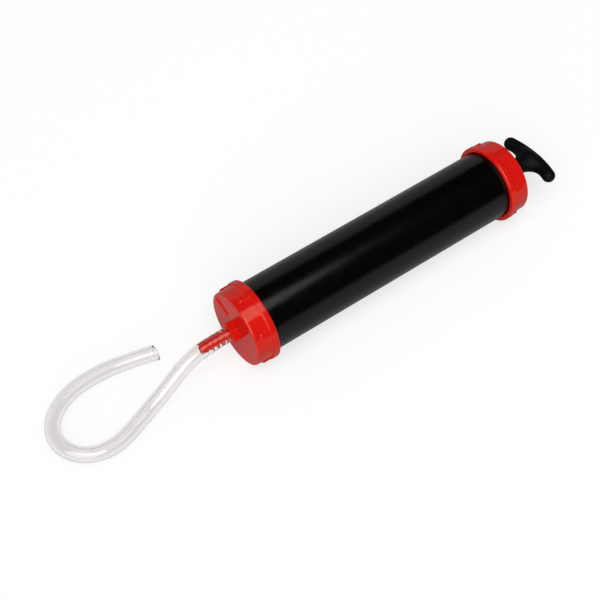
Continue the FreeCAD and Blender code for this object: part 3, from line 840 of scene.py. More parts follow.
@dataclass
class Studio:
    """A pale floor, soft lights and the camera."""

    camera_at: Place = (-0.443265, -0.504434, 0.874086)
    camera_heading: float = 35.8
    camera_down: float = 53.8
    lens: float = 78.09
    nearest: float = 0.01
    furthest: float = 200.0
    floor_half: float = 30.0
    floor_shade: float = 0.39
    floor_lift: float = 0.63
    sky_shade: float = 0.97
    sky_light: float = 0.30
    sun_heading: float = 223.0
    sun_height: float = 42.0
    sun_strength: float = 2.6
    sun_spread: float = 70.0

    def camera(self) -> None:
        """The camera, level, turned from +Y by its heading and looking down by its angle."""
        eye = place_in_scene("camera", bpy.data.cameras.new("camera"))
        eye.data.lens = self.lens
        eye.data.clip_start = self.nearest
        eye.data.clip_end = self.furthest
        eye.location = self.camera_at
        eye.rotation_euler = (math.radians(90 - self.camera_down), 0.0, -math.radians(self.camera_heading))
        bpy.context.scene.camera = eye

    def floor_finish(self) -> bpy.types.Material:
        """The floor's material, lifted to nearly white where it is seen directly or through the hose.

        Returns:
            The material.
        """
        material = bpy.data.materials.new("floor")
        board = NodeBoard(material)
        surface = board.add("ShaderNodeBsdfDiffuse")
        surface.inputs["Color"].default_value = (self.floor_shade, self.floor_shade, self.floor_shade, 1.0)
        path = board.add("ShaderNodeLightPath")
        rays = ("Is Camera Ray", "Is Transmission Ray", "Is Singular Ray")
        lift = board.add("ShaderNodeMath", operation="MULTIPLY")
        lift.inputs[1].default_value = self.floor_lift
        board.link(board.largest(*(path.outputs[ray] for ray in rays)), lift.inputs[0])
        glow = board.add("ShaderNodeEmission")
        board.link(lift.outputs["Value"], glow.inputs["Strength"])
        both = board.add("ShaderNodeAddShader")
        board.link(surface.outputs["BSDF"], both.inputs[0])
        board.link(glow.outputs["Emission"], both.inputs[1])
        board.link(both.outputs["Shader"], board.output.inputs["Surface"])
        return material

    def floor(self) -> None:
        """The floor, a plain square."""
        half = self.floor_half
        corners = [(-half, -half, 0), (half, -half, 0), (half, half, 0), (-half, half, 0)]
        mesh = bpy.data.meshes.new("floor")
        mesh.from_pydata(corners, [], [(0, 1, 2, 3)])
        mesh.materials.append(self.floor_finish())
        place_in_scene("floor", mesh)

    def sky(self) -> None:
        """The surroundings: pale past the floor, a dim light on every side, and no reflection of their own."""
        world = bpy.data.worlds.new("surroundings")
        bpy.context.scene.world = world
        world.cycles_visibility.glossy = False
        board = NodeBoard(world, "ShaderNodeOutputWorld")
        choice = board.add("ShaderNodeMixShader")
        path = board.add("ShaderNodeLightPath")
        dim = board.add("ShaderNodeBackground")
        dim.inputs["Color"].default_value = (*WHITE, 1.0)
        dim.inputs["Strength"].default_value = self.sky_light
        pale = board.add("ShaderNodeBackground")
        pale.inputs["Color"].default_value = (self.sky_shade, self.sky_shade, self.sky_shade, 1.0)
        board.link(path.outputs["Is Camera Ray"], choice.inputs["Fac"])
        board.link(dim.outputs["Background"], choice.inputs[1])
        board.link(pale.outputs["Background"], choice.inputs[2])
        board.link(choice.outputs["Shader"], board.output.inputs["Surface"])

    def sun(self) -> None:
        """The main light, as wide as a large softbox, so that shadows are soft."""
        light = bpy.data.lights.new("main_light", "SUN")
        light.energy = self.sun_strength
        light.angle = math.radians(self.sun_spread)
        heading, height = math.radians(self.sun_heading), math.radians(self.sun_height)
        level = math.cos(height)
        towards = Vector((math.cos(heading) * level, math.sin(heading) * level, math.sin(height)))
        place_in_scene("main_light", light).rotation_euler = towards.to_track_quat("Z", "Y").to_euler()

    def build(self) -> None:
        """Make the whole studio."""
        bpy.context.scene.view_settings.view_transform = "Standard"
        self.camera()
        self.floor()
        self.sky()
        self.sun()
        BACK_CARD.build()
        ROUND_SOFTBOX.build()
        log.info("studio ready")


# ---------------------------------------------------------------------------------------------
# Hose
# ---------------------------------------------------------------------------------------------
@dataclass
class Hose:
    """The clear hose: a tube along its route, drawn in a little where it grips the nozzle's spigot."""

    height: float = AXIS_Z
    lying: float = 0.00655
    radius: float = 0.0065
    bore: float = 0.004
    length: float = 0.300
    grip: float = 0.0002
    grip_outside: float = 0.3
    grip_end: float = 0.030
    grip_fade: float = 0.006
    columns: int = 64
    cut_lean: float = -0.25
    cut_run: float = 0.014
    cut_rounding: float = 0.0002
    cut_segments: int = 2
    cut_angle: float = 60.0
    sharp: float = 50.0
    resolution: int = 24

    def route(self) -> np.ndarray:
        """The route's points, from the nozzle's hexagon to the open end.

        Returns:
            The points, one row each.
        """
        leaves = [
            (-0.149, 0.0, self.height), (-0.173, 0.0, self.height), (-0.192, -0.002, 0.0295),
            (-0.212, -0.004, 0.0145),
        ]
        lies = [
            (-0.237, -0.010), (-0.263, -0.0195), (-0.285, -0.017), (-0.300, -0.002), (-0.302, 0.017),
            (-0.290, 0.035), (-0.267, 0.045), (-0.240, 0.0455), (-0.214, 0.041), (-0.196, 0.036),
        ]
        return np.array(leaves + [(x, y, self.lying) for x, y in lies])

    def centreline(self) -> np.ndarray:
        """Points along the smooth spline that has the route's points as its control points.

        Returns:
            The points, one row each.
        """
        points = self.route()
        curve = bpy.data.curves.new("hose_route", "CURVE")
        curve.dimensions = "3D"
        curve.resolution_u = self.resolution
        spline = curve.splines.new("NURBS")
        spline.points.add(len(points) - 1)
        spline.points.foreach_set("co", np.hstack([points, np.ones((len(points), 1))]).ravel())
        spline.order_u = 3
        spline.use_endpoint_u = True
        holder = place_in_scene("hose_route", curve)
        mesh = evaluated_mesh(holder)
        line = mesh_points(mesh)
        bpy.data.meshes.remove(mesh)
        bpy.data.objects.remove(holder)
        bpy.data.curves.remove(curve)
        return line

    def drawn_in(self, distance: np.ndarray) -> np.ndarray:
        """How far the bore is drawn in at a distance from the hexagon: fully on the spigot, then fading."""
        return self.grip * smooth_step((self.grip_end - distance) / self.grip_fade)

    def wall(self, line: np.ndarray, distance: np.ndarray) -> np.ndarray:
        """The wall's grid of points.

        Its rows run out along the outer wall and back along the bore. Each row is a circle about the
        centreline, in the plane across its direction. The circle's sideways arm is level, the cross
        product of up and the direction, and its other arm is at right angles to both. Over the last
        stretch the circles lean more and more, to a slanting cut.

        Args:
            line: points along the centreline.
            distance: how far along it they are.

        Returns:
            The grid, rows by columns by three.
        """
        direction = np.gradient(line, distance, axis=0)
        direction[0] = (-1.0, 0.0, 0.0)
        direction /= np.linalg.norm(direction, axis=1)[:, None]
        arm = np.cross((0.0, 0.0, 1.0), direction)
        arm /= np.linalg.norm(arm, axis=1)[:, None]
        rise = np.cross(direction, arm)
        drawn = self.drawn_in(distance)
        outer, inner = self.radius - self.grip_outside * drawn, self.bore - drawn
        order = np.concatenate([np.arange(len(line)), np.arange(len(line))[::-1]])
        radius = np.concatenate([outer, inner[::-1]])
        angle = circle_angles(self.columns)[None, :, None]
        across = arm[order][:, None, :] * np.cos(angle) + rise[order][:, None, :] * np.sin(angle)
        near_cut = np.clip(1 - (distance[-1] - distance) / self.cut_run, 0, 1)[order]
        leaning = self.cut_lean * near_cut * radius
        forward = leaning[:, None, None] * np.cos(angle) * direction[order][:, None, :]
        return line[order][:, None, :] + across * radius[:, None, None] + forward

    def pattern(self, distance: np.ndarray) -> np.ndarray:
        """The hose's own map, in metres: the distance along it and the distance round it.

        Args:
            distance: how far along the hose its rows are.

        Returns:
            A place for each corner of each face.
        """
        rows = np.concatenate([distance, distance[::-1], distance[:1]])
        columns = np.arange(self.columns + 1) / self.columns * FULL_TURN * self.radius
        return cells(np.stack(np.meshgrid(rows, columns, indexing="ij"), -1)).reshape(-1, 2)

    def build(self) -> Piece:
        """Returns:
            The piece.
        """
        line = self.centreline()
        step = np.linalg.norm(np.diff(line, axis=0), axis=1)
        distance = np.concatenate([[0.0], np.cumsum(step)])
        shape = skin(self.wall(line, distance), True, True)
        piece = new_piece("clear_hose", *shape, self.sharp, self.pattern(distance))
        edge = piece.modifiers.new("cut_edges", "BEVEL")
        edge.width = self.cut_rounding
        edge.segments = self.cut_segments
        edge.limit_method = "ANGLE"
        edge.angle_limit = math.radians(self.cut_angle)
        apply_modifiers(piece)
        return piece

    def dress(self) -> None:
        """Build the hose and give it its clear finish."""
        dress(self.build(), Body.PUMP, CLEAR_VINYL, "hose")


# ---------------------------------------------------------------------------------------------
# Tube and caps
# ---------------------------------------------------------------------------------------------
@dataclass
class Barrel:
    """The enamelled tube."""

    wall: float = 0.002
    rounding: float = 0.0005
    columns: int = 192
    longest: float = 0.02

    def dress(self) -> None:
        """Build the tube, open at both ends with rounded rims, and paint it."""
        section = tube_section("barrel_tube", reach("barrel_tube") - self.wall, self.rounding)
        piece = turned("barrel", spread(section, self.longest), self.columns)
        dress(piece, Body.PUMP, BARREL_ENAMEL, "barrel_tube")


@dataclass
class Cap:
    """A screwed cap: a drafted skirt with a flange, rounded edges and grip lugs that run into the flange.

    Distances along the cap start at its outer face. The CAD node gives where that face is.
    """

    name: str
    faces_back: bool
    lug_phase: float
    hole: float
    seat: float
    boss_length: float
    boss: float = 0.011
    flange: float = 0.0345
    length: float = 0.0195
    wall: float = 0.0035
    seal_depth: float = 0.0015
    skirt_inner: float = 0.03015
    skirt_outside: float = 0.03165
    mouth: float = 0.0307
    mouth_depth: float = 0.002
    root: float = 0.0328
    face: float = 0.0323
    flange_width: float = 0.0056
    edge: float = 0.0003
    boss_rounding: float = 0.0005
    inner_fillet: float = 0.0008
    rim_rounding: float = 0.0012
    flange_rounding: float = 0.0011
    flange_front_rounding: float = 0.0007
    arc_points: int = 7
    longest: float = 0.0008
    lugs: int = 6
    lug_width: float = 0.0048
    lug_length: float = 0.0086
    lug_top: float = 0.0339
    lug_slope: float = 0.0008
    columns: int = 180
    flank_columns: int = 8
    angle_decimals: int = 5
    sharp: float = 32.0

    def outline(self) -> Outline:
        """The cap's half section, from its outer face inwards and back over the skirt.

        Returns:
            The section's points, (along the cap, radius).
        """
        behind = self.length - self.flange_width
        boss_end = self.wall + self.boss_length
        corners = [
            (0.0, self.seat, self.edge),
            (self.seal_depth, self.seat, 0.0),
            (self.seal_depth, self.hole, 0.0),
            (boss_end, self.hole, self.edge),
            (boss_end, self.boss, self.boss_rounding),
            (self.wall, self.boss, self.inner_fillet),
            (self.wall, self.skirt_inner, self.inner_fillet),
            (self.length - self.mouth_depth, self.skirt_inner, self.edge),
            (self.length, self.mouth, self.edge),
            (self.length, self.flange, self.flange_rounding),
            (behind, self.flange, self.flange_front_rounding),
            (behind, self.root, self.edge),
            (0.0, self.face, self.rim_rounding),
        ]
        return spread(round_corners(corners, self.arc_points), self.longest)

    def angles(self) -> np.ndarray:
        """Even angles round the cap, with more beside the lugs' flanks.

        Returns:
            The angles in order, each one once.
        """
        middles = np.radians(self.lug_phase) + circle_angles(self.lugs)[:, None]
        flank = (self.lug_width / 2 - self.lug_slope * np.linspace(0, 1, self.flank_columns)) / self.root
        beside = (middles + np.concatenate([flank, -flank])).ravel() % FULL_TURN
        every = np.concatenate([circle_angles(self.columns), beside])
        return np.unique(np.round(every, self.angle_decimals))

    def lifted(self, x: np.ndarray, radius: np.ndarray, angle: np.ndarray) -> np.ndarray:
        """The skirt's radius with its lugs.

        Over a lug the skirt rises from its own radius to the lug's. The rise is a smooth step over each
        flank, and over the lug's front end, and it is none on every other part of the outline.

        Args:
            x: the rows' places along the cap, as a column.
            radius: the outline's radii, as a column.
            angle: the columns' angles.

        Returns:
            The radius of every point.
        """
        gap = FULL_TURN / self.lugs
        off = (angle - math.radians(self.lug_phase) + gap / 2) % gap - gap / 2
        from_flank = self.lug_width / 2 - np.abs(off) * self.root
        from_front = x - (self.length - self.flange_width - self.lug_length)
        rise = smooth_step(from_flank / self.lug_slope) * smooth_step(from_front / self.lug_slope)
        outside = (radius > self.skirt_outside) & (x < self.length - self.flange_rounding)
        return np.where(outside, np.maximum(radius, radius + rise * (self.lug_top - radius)), radius)

    def build(self) -> Piece:
        """Turn the outline about the axis with the lugs lifted, mirrored for the cap that faces back.

        Returns:
            The piece.
        """
        start, end = along(self.name)
        outline = self.outline()
        x, angle = outline[:, :1], self.angles()
        radius = self.lifted(x, outline[:, 1:], angle)
        place = end - x if self.faces_back else start + x
        return revolved(self.name + "_moulding", place, radius, angle, self.sharp)


@dataclass
class FrontCap(Cap):
    """The cap at the nozzle, with a plain raised ladder on its face, two rails and a row of rungs."""

    ladder_length: float = 0.0163
    ladder_width: float = 0.0034
    ladder_rise: float = 0.0007
    ladder_root: float = 0.0006
    ladder_at: tuple[float, float] = (0.0180, 0.0108)
    ladder_tilt: float = 11.5
    ladder_grid: tuple[int, int] = (170, 40)
    bar_width: float = 0.00075
    bar_edge: float = 0.00020
    rungs: int = 7

    def ladder_height(self, run: np.ndarray, over: np.ndarray) -> np.ndarray:
        """How far the slab stands out of the face, a smooth step of the distance to the nearest bar's middle.

        The distance to the rails is measured across the ladder, and past their ends from those. The
        distance to the rungs is measured along it, where it repeats once a rung.

        Args:
            run: places along the ladder, from its middle.
            over: places across it.

        Returns:
            The height over the face, less than nothing between the bars.
        """
        half_length, half_width = self.ladder_length / 2, self.ladder_width / 2
        gap = self.ladder_length / (self.rungs - 1)
        to_rung = np.abs((run + half_length + gap / 2) % gap - gap / 2)
        has_rungs = (np.abs(over) <= half_width) & (np.abs(run) <= half_length + self.bar_width)
        to_rung = np.where(has_rungs, to_rung, np.inf)
        past = np.clip(np.abs(run) - half_length, 0, None)
        to_rail = np.hypot(np.abs(over) - half_width, past)
        inside = (self.bar_width + self.bar_edge) / 2 - np.minimum(to_rung, to_rail)
        return (self.ladder_rise + self.bar_edge) * smooth_step(inside / self.bar_edge) - self.bar_edge

    def ladder(self) -> Piece:
        """A slab on the cap's face, seen only where its bars stand out, with its border and its back sunk.

        Returns:
            The slab.
        """
        face = along(self.name)[0]
        half_run, half_over = (size / 2 + self.bar_width for size in (self.ladder_length, self.ladder_width))
        rows, columns = self.ladder_grid
        along_it = np.linspace(-half_run, half_run, rows)
        across_it = np.linspace(-half_over, half_over, columns)
        run, over = np.meshgrid(along_it, across_it, indexing="ij")
        tilt = math.radians(self.ladder_tilt)
        y = self.ladder_at[0] + run * math.cos(tilt) - over * math.sin(tilt)
        z = AXIS_Z + self.ladder_at[1] + run * math.sin(tilt) + over * math.cos(tilt)
        front = np.stack([face - self.ladder_height(run, over), y, z], -1)
        back = np.stack([np.full_like(y, face + self.ladder_root), y, z], -1)
        near_side = np.stack([back[:, 0], front[:, 0]], 1)
        far_side = np.stack([front[:, -1], back[:, -1]], 1)
        slab = skin(np.concatenate([front, back[::-1]]), True, False)
        sides = [skin(side, False, False) for side in (near_side, far_side)]
        return new_piece("ladder", *together([slab, *sides]))

    def dress(self) -> None:
        """Build the cap with its ladder and give it its red finish."""
        piece = self.build()
        combine(piece, self.ladder(), Joining.JOINED_ON)
        shade(piece.data, self.sharp)
        dress(piece, Body.PUMP, RED_PLASTIC, self.name)


def together(grids: list[tuple[np.ndarray, np.ndarray]]) -> tuple[np.ndarray, np.ndarray]:
    """Several skins as one.

    Args:
        grids: the points and the faces of each skin.

    Returns:
        All points, and all faces with their indices counted on.
    """
    sizes = [len(points) for points, _ in grids]
    firsts = np.cumsum([0] + sizes[:-1])
    faces = [quads + first for (_, quads), first in zip(grids, firsts)]
    return np.concatenate([points for points, _ in grids]), np.concatenate(faces)


@dataclass
class RearCap(Cap):
    """The cap at the handle, with two air holes in its end wall."""

    vent_radius: float = 0.00125
    vent_at: float = 0.020
    vent_columns: int = 32

    def drill(self, side: int) -> Piece:
        """A rod through the end wall where an air hole goes, with a pole at each end.

        Args:
            side: 1 or -1, the side of the axis.

        Returns:
            The rod.
        """
        end = along(self.name)[1]
        x = end + self.wall * np.array([-2, -2, 1, 1])[:, None]
        radius = self.vent_radius * np.array([0, 1, 1, 0])[:, None]
        angle = circle_angles(self.vent_columns)
        y = side * self.vent_at + radius * np.cos(angle)
        z = AXIS_Z + radius * np.sin(angle)
        return new_piece("drill", *skin(np.stack(np.broadcast_arrays(x, y, z), -1), False, True))

    def dress(self) -> None:
        """Build the cap, drill its air holes and give it its red finish."""
        piece = self.build()
        for side in (1, -1):
            combine(piece, self.drill(side), Joining.CUT_OUT)
        shade(piece.data, self.sharp)
        dress(piece, Body.PUMP, RED_PLASTIC, self.name)


# ---------------------------------------------------------------------------------------------
# Nozzle
# ---------------------------------------------------------------------------------------------
def hexagon(angle: np.ndarray, flats: float, power: float) -> np.ndarray:
    """Radius of a hexagon with softened corners.

    The half width across flats is divided by the power mean of the six flats' cosines, so that the
    largest one rules along a flat and two share a corner.

    Args:
        angle: where the radius is wanted.
        flats: the width across flats.
        power: the mean's power, more for harder corners.

    Returns:
        The radius at each angle.
    """
    normals = math.radians(30) + circle_angles(6)
    cosines = np.clip(np.cos(angle[..., None] - normals), 0, None)
    return flats / 2 / (cosines ** power).sum(-1) ** (1 / power)


@dataclass
class Nozzle:
    """The nozzle: a hexagon with softened corners, a stem into the cap and a spigot with five barbs."""

    barbs: int = 5
    pitch: float = 0.0052
    barb_root: float = 0.0037
    crest: float = 0.0042
    land: float = 0.0005
    bore: float = 0.0025
    flats: float = 0.0165
    hexagon_length: float = 0.007
    corner_power: float = 60.0
    chamfer: float = 0.0009
    stem: float = 0.006
    stem_clear: float = 0.0001
    crest_front: float = 0.0001
    crest_back: float = 0.00015
    fillet: float = 0.0002
    edge: float = 0.0003
    tip: float = 0.0004
    arc_points: int = 4
    longest: float = 0.0012
    columns: int = 192
    sharp: float = 25.0

    def outline(self, start: float, end: float) -> Outline:
        """The nozzle's half section.

        Each barb rises in a straight slope to its crest and falls back at once, so that the hose goes on
        easily and doesn't slip off. Over the hexagon the section is wider than its corners, with a cone
        at each end.

        Args:
            start: where the spigot's tip is along X.
            end: where the stem ends.

        Returns:
            The section's points, (along X, radius).
        """
        front = start + self.barbs * self.pitch
        back = front + self.hexagon_length
        half, cone = self.flats / 2, self.chamfer / 2
        corners = [(start, self.bore, self.tip), (start, self.barb_root, self.edge)]
        for barb in range(self.barbs):
            top = start + (barb + 1) * self.pitch - self.land
            corners += [
                (top - self.land, self.crest, self.crest_front), (top, self.crest, self.crest_back),
                (top, self.barb_root, self.crest_back),
            ]
        corners += [
            (front, self.barb_root, self.edge), (front, half - self.chamfer, 0.0),
            (front + self.chamfer, self.flats, 0.0), (back - cone, self.flats, 0.0),
            (back, half - cone, 0.0), (back, self.stem, self.fillet),
            (end, self.stem, self.tip), (end, self.bore, self.edge),
        ]
        return spread(round_corners(corners, self.arc_points), self.longest)

    def dress(self) -> None:
        """Turn the section about the axis, cut to the hexagon, and give it its red finish.

        On the hexagon the radius is the smaller of the section's, a cone at each end, and the hexagon's
        own at that angle, so that the cones trim its corners.
        """
        outline = self.outline(*along("hose_nozzle"))
        angle = circle_angles(self.columns)
        x, radius = outline[:, :1], outline[:, 1:]
        on_hexagon = radius > self.stem + self.stem_clear
        trimmed = np.minimum(radius, hexagon(angle, self.flats, self.corner_power))
        piece = revolved("nozzle", x, np.where(on_hexagon, trimmed, radius), angle, self.sharp)
        dress(piece, Body.PUMP, RED_PLASTIC, "hose_nozzle")


# ---------------------------------------------------------------------------------------------
# Rod guide in the rear cap, and the seals
# ---------------------------------------------------------------------------------------------
@dataclass
class RodGuide:
    """The flanged bush with its seal, wiper and clip."""

    bore: float = 0.00406
    body: float = 0.007
    groove: float = 0.0056
    flange_width: float = 0.0015
    edge: float = 0.0003
    groove_edge: float = 0.0001
    longest: float = 0.002
    clip_floor: float = 0.0062
    clip_body: float = 0.0084
    clip_gap: float = 62.0
    clip_ear: float = 16.0
    ear_flat: float = 0.5
    clip_sections: int = 120
    seal_rounding: float = 0.0005
    wiper_rounding: float = 0.0006

    def bush(self) -> Piece:
        """The bush, turned from a section with a flange inside the cap and grooves for seal, wiper and clip.

        Returns:
            The piece.
        """
        start, end = along("rod_guide_bush")
        clip_low, clip_high = along("bush_clip")
        outer, flange_end = reach("rod_guide_bush"), start + self.flange_width
        corners = [(start, self.bore, self.edge)]
        for node in ("rod_seal", "rod_wiper"):
            low, high = along(node)
            floor = self.groove
            corners += [(low, self.bore, 0.0), (low, floor, 0.0), (high, floor, 0.0), (high, self.bore, 0.0)]
        corners += [
            (end, self.bore, self.edge), (end, self.body, 2 * self.edge),
            (clip_high, self.body, self.groove_edge), (clip_high, self.clip_floor, 0.0),
            (clip_low, self.clip_floor, 0.0), (clip_low, self.body, self.groove_edge),
            (flange_end, self.body, 0.0), (flange_end, outer, self.edge), (start, outer, self.edge),
        ]
        return turned("guide_bush", spread(round_corners(corners), self.longest))

    def clip(self) -> Piece:
        """An open spring ring with an ear at each end.

        Its outer radius grows over the last degrees beside the gap, by a smooth step, to the ears' radius.

        Returns:
            The piece.
        """
        low, high = along("bush_clip")
        half_gap = math.radians(self.clip_gap) / 2
        from_gap = np.linspace(half_gap, FULL_TURN - half_gap, self.clip_sections)
        to_end = np.minimum(from_gap, FULL_TURN - from_gap) - half_gap
        ear = smooth_step(1 + self.ear_flat - to_end / math.radians(self.clip_ear))
        outer = self.clip_body + (reach("bush_clip") - self.clip_body) * ear
        angle = from_gap + FULL_TURN / 4
        return split_ring("spring_clip", angle, np.full_like(angle, low), high - low, self.clip_floor, outer)

    def dress(self) -> None:
        """Build the guide's pieces and give them their finishes."""
        dress(self.bush(), Body.PUMP, WHITE_PLASTIC, "rod_guide_bush")
        dress(self.clip(), Body.PUMP, ZINC_STEEL, "bush_clip")
        seal = ring("rod_lip_seal", "rod_seal", self.bore, self.seal_rounding)
        dress(seal, Body.PUMP, SEAL_RUBBER, "rod_seal")
        wiper = ring("rod_felt_wiper", "rod_wiper", self.bore, self.wiper_rounding)
        dress(wiper, Body.PUMP, WIPER_FELT, "rod_wiper")


@dataclass
class StaticSeals:
    """The flat rings under the caps and the ring under the nozzle's hexagon."""

    gasket_width: float = 0.0045
    gasket_rounding: float = 0.0003
    gasket_columns: int = 128
    stem: float = 0.006
    stem_rounding: float = 0.0007

    def dress(self) -> None:
        """Build the three rings in rubber."""
        for node in ("front_cap_gasket", "rear_cap_gasket"):
            inner = reach(node) - self.gasket_width
            gasket = ring(node + "_ring", node, inner, self.gasket_rounding, self.gasket_columns)
            dress(gasket, Body.PUMP, SEAL_RUBBER, node)
        seal = ring("nozzle_o_ring", "nozzle_seal", self.stem, self.stem_rounding)
        dress(seal, Body.PUMP, SEAL_RUBBER, "nozzle_seal")


# ---------------------------------------------------------------------------------------------
# Rod, piston and fasteners
# ---------------------------------------------------------------------------------------------
@dataclass
class Rod:
    """The steel rod with a thread at each end."""

    radius: float = 0.004
    chamfer: float = 0.0008
    pitch: float = 0.00125
    thread_depth: float = 0.00062
    front_thread: float = 0.0345
    rear_thread: float = 0.0215
    rows_a_pitch: int = 8
    plain_rows: int = 12
    columns: int = 40
    sharp: float = 30.0

    def thread(self, x: np.ndarray, angle: np.ndarray, start: float, end: float) -> np.ndarray:
        """How deep a thread lies.

        The depth is a triangle wave of the distance along X less the share of a pitch that the angle has
        turned. It fades in and out over half a pitch at the thread's two ends.

        Args:
            x: places along X.
            angle: angles about the axis.
            start: where the thread starts.
            end: where it ends.

        Returns:
            The depth at each place and angle, 0 off the thread.
        """
        phase = ((x - start) / self.pitch - angle / FULL_TURN) % 1.0
        wave = 1 - np.abs(2 * phase - 1)
        fade = np.clip(np.minimum(x - start, end - x) / (self.pitch / 2), 0, 1)
        return self.thread_depth * wave * fade

    def build(self) -> Piece:
        """The rod: rows close together on its two threads, few between them, and a pole at each end.

        Returns:
            The piece.
        """
        start, end = along("piston_rod")
        fine = self.pitch / self.rows_a_pitch
        front_end, rear_start = start + self.front_thread, end - self.rear_thread
        x = np.concatenate([
            np.arange(start + self.chamfer, front_end, fine),
            np.linspace(front_end, rear_start, self.plain_rows),
            np.arange(rear_start + fine, end - self.chamfer, fine),
        ])[:, None]
        angle = circle_angles(self.columns)
        depth = self.thread(x, angle, start, front_end) + self.thread(x, angle, rear_start, end)
        tip = np.full((1, self.columns), self.radius - self.chamfer)
        pole = np.zeros_like(tip)
        x = np.concatenate([[[start], [start]], x, [[end], [end]]])
        radius = np.concatenate([pole, tip, self.radius - depth, tip, pole])
        return revolved("rod", x, radius, angle, self.sharp, is_loop=False)


@dataclass
class Nut:
    """A hexagon nut whose corners two cones trim, with a countersunk bore."""

    node: str
    bore: float = 0.004
    flats: float = 0.013
    corner_power: float = 120.0
    cone: float = 0.0008
    cone_width: float = 1.17
    face_inset: float = 0.0002
    sunk: float = 0.0005
    longest: float = 0.0006
    columns: int = 144
    sharp: float = 25.0

    def build(self) -> Piece:
        """Turn the section, wider than the corners between its cones, and cut it to the hexagon.

        Returns:
            The piece.
        """
        start, end = along(self.node)
        half = self.flats / 2
        face, wide, rim = half - self.face_inset, half * self.cone_width, self.bore + self.sunk
        section = [
            (start, rim), (start, face), (start + self.cone, wide), (end - self.cone, wide),
            (end, face), (end, rim), (end - self.sunk, self.bore), (start + self.sunk, self.bore),
        ]
        outline = spread(np.array(section), self.longest)
        angle = circle_angles(self.columns)
        radius = np.minimum(outline[:, 1:], hexagon(angle, self.flats, self.corner_power))
        return revolved(self.node + "_hexagon", outline[:, :1], radius, angle, self.sharp)


@dataclass
class Piston:
    """The piston with two grooves for its cups, and the cups."""

    rod: float = 0.004
    wall: float = 0.0035
    groove: float = 0.024
    groove_land: float = 0.0036
    groove_width: float = 0.0046
    groove_edge: float = 0.0003
    groove_fillet: float = 0.0004
    hub: float = 0.012
    hub_edge: float = 0.0004
    hollow_depth: float = 0.006
    hollow_fillet: float = 0.001
    rim: float = 0.0008
    longest: float = 0.003
    cup_inner: float = 0.0243
    cup_lip: float = 0.0009
    cup_depth: float = 0.002
    lip_edge: float = 0.0002
    channel_edge: float = 0.0003
    heel_inner: float = 0.0004
    heel_outer: float = 0.0006
    columns: int = 144

    def head(self) -> Piece:
        """The piston, with rounded rims and a hollow in its rear face.

        Returns:
            The piece.
        """
        start, end = along("piston_head")
        outer = reach("piston_head")
        hollow, floor = self.groove - self.wall, end - self.hollow_depth
        corners = [
            (start, self.rod, 0.0), (end, self.rod, 0.0), (end, self.hub, self.hub_edge),
            (floor, self.hub, self.hollow_fillet), (floor, hollow, self.hollow_fillet),
            (end, hollow, self.hub_edge), (end, outer, self.rim),
        ]
        for low in (end - self.groove_land - self.groove_width, start + self.groove_land):
            high = low + self.groove_width
            corners += [
                (high, outer, self.groove_edge), (high, self.groove, self.groove_fillet),
                (low, self.groove, self.groove_fillet), (low, outer, self.groove_edge),
            ]
        corners.append((start, outer, self.rim))
        return turned("piston", spread(round_corners(corners), self.longest), self.columns)

    def cup(self, name: str, node: str, faces_back: bool) -> Piece:
        """A cup seal with two lips and a channel between them.

        Args:
            name: the piece's name.
            node: its CAD node.
            faces_back: whether its lips face the handle.

        Returns:
            The piece.
        """
        start, end = along(node)
        outer, width = reach(node), end - start
        corners = [
            (width, self.cup_inner, self.heel_inner), (0.0, self.cup_inner, self.lip_edge),
            (0.0, self.cup_inner + self.cup_lip, self.lip_edge),
            (self.cup_depth, (self.cup_inner + outer) / 2, self.channel_edge),
            (0.0, outer - self.cup_lip, self.lip_edge), (0.0, outer, self.lip_edge),
            (width, outer, self.heel_outer),
        ]
        outline = round_corners(corners)
        outline[:, 0] = end - outline[:, 0] if faces_back else start + outline[:, 0]
        return turned(name, outline, self.columns)


@dataclass
class Plunger:
    """Everything that slides in the tube, without the handle."""

    washer_bore: float = 0.004
    washer_rounding: float = 0.0002
    spring_gap: float = 14.0
    spring_thickness: float = 0.8
    spring_sections: int = 90

    def spring_washer(self) -> Piece:
        """A split ring whose two ends are sprung apart along X, by a straight rise with the angle.

        Returns:
            The piece.
        """
        start, end = along("piston_spring_washer")
        gap = math.radians(self.spring_gap)
        angle = np.linspace(gap / 2, FULL_TURN - gap / 2, self.spring_sections)
        share = (angle - gap / 2) / (FULL_TURN - gap)
        thick = (end - start) * self.spring_thickness
        low = start + (end - start - thick) * share
        outer = np.full_like(angle, reach("piston_spring_washer"))
        return split_ring("spring_washer", angle, low, thick, self.washer_bore, outer)

    def dress(self) -> None:
        """Build the plunger's pieces and give them their finishes."""
        piston = Piston()
        dress(Rod().build(), Body.PLUNGER, ROD_STEEL, "piston_rod")
        dress(piston.head(), Body.PLUNGER, WHITE_PLASTIC, "piston_head")
        cups = (("cup_front", "piston_cup_front", False), ("cup_rear", "piston_cup_rear", True))
        for name, node, faces_back in cups:
            dress(piston.cup(name, node, faces_back), Body.CUPS, SEAL_RUBBER, node)
        for node in ("piston_washer_front", "piston_washer_rear"):
            washer = ring(node + "_ring", node, self.washer_bore, self.washer_rounding)
            dress(washer, Body.PLUNGER, ZINC_STEEL, node)
        dress(self.spring_washer(), Body.PLUNGER, ZINC_STEEL, "piston_spring_washer")
        for node in ("piston_nut_front", "piston_nut_rear", "handle_lock_nut"):
            dress(Nut(node).build(), Body.PLUNGER, ZINC_STEEL, node)


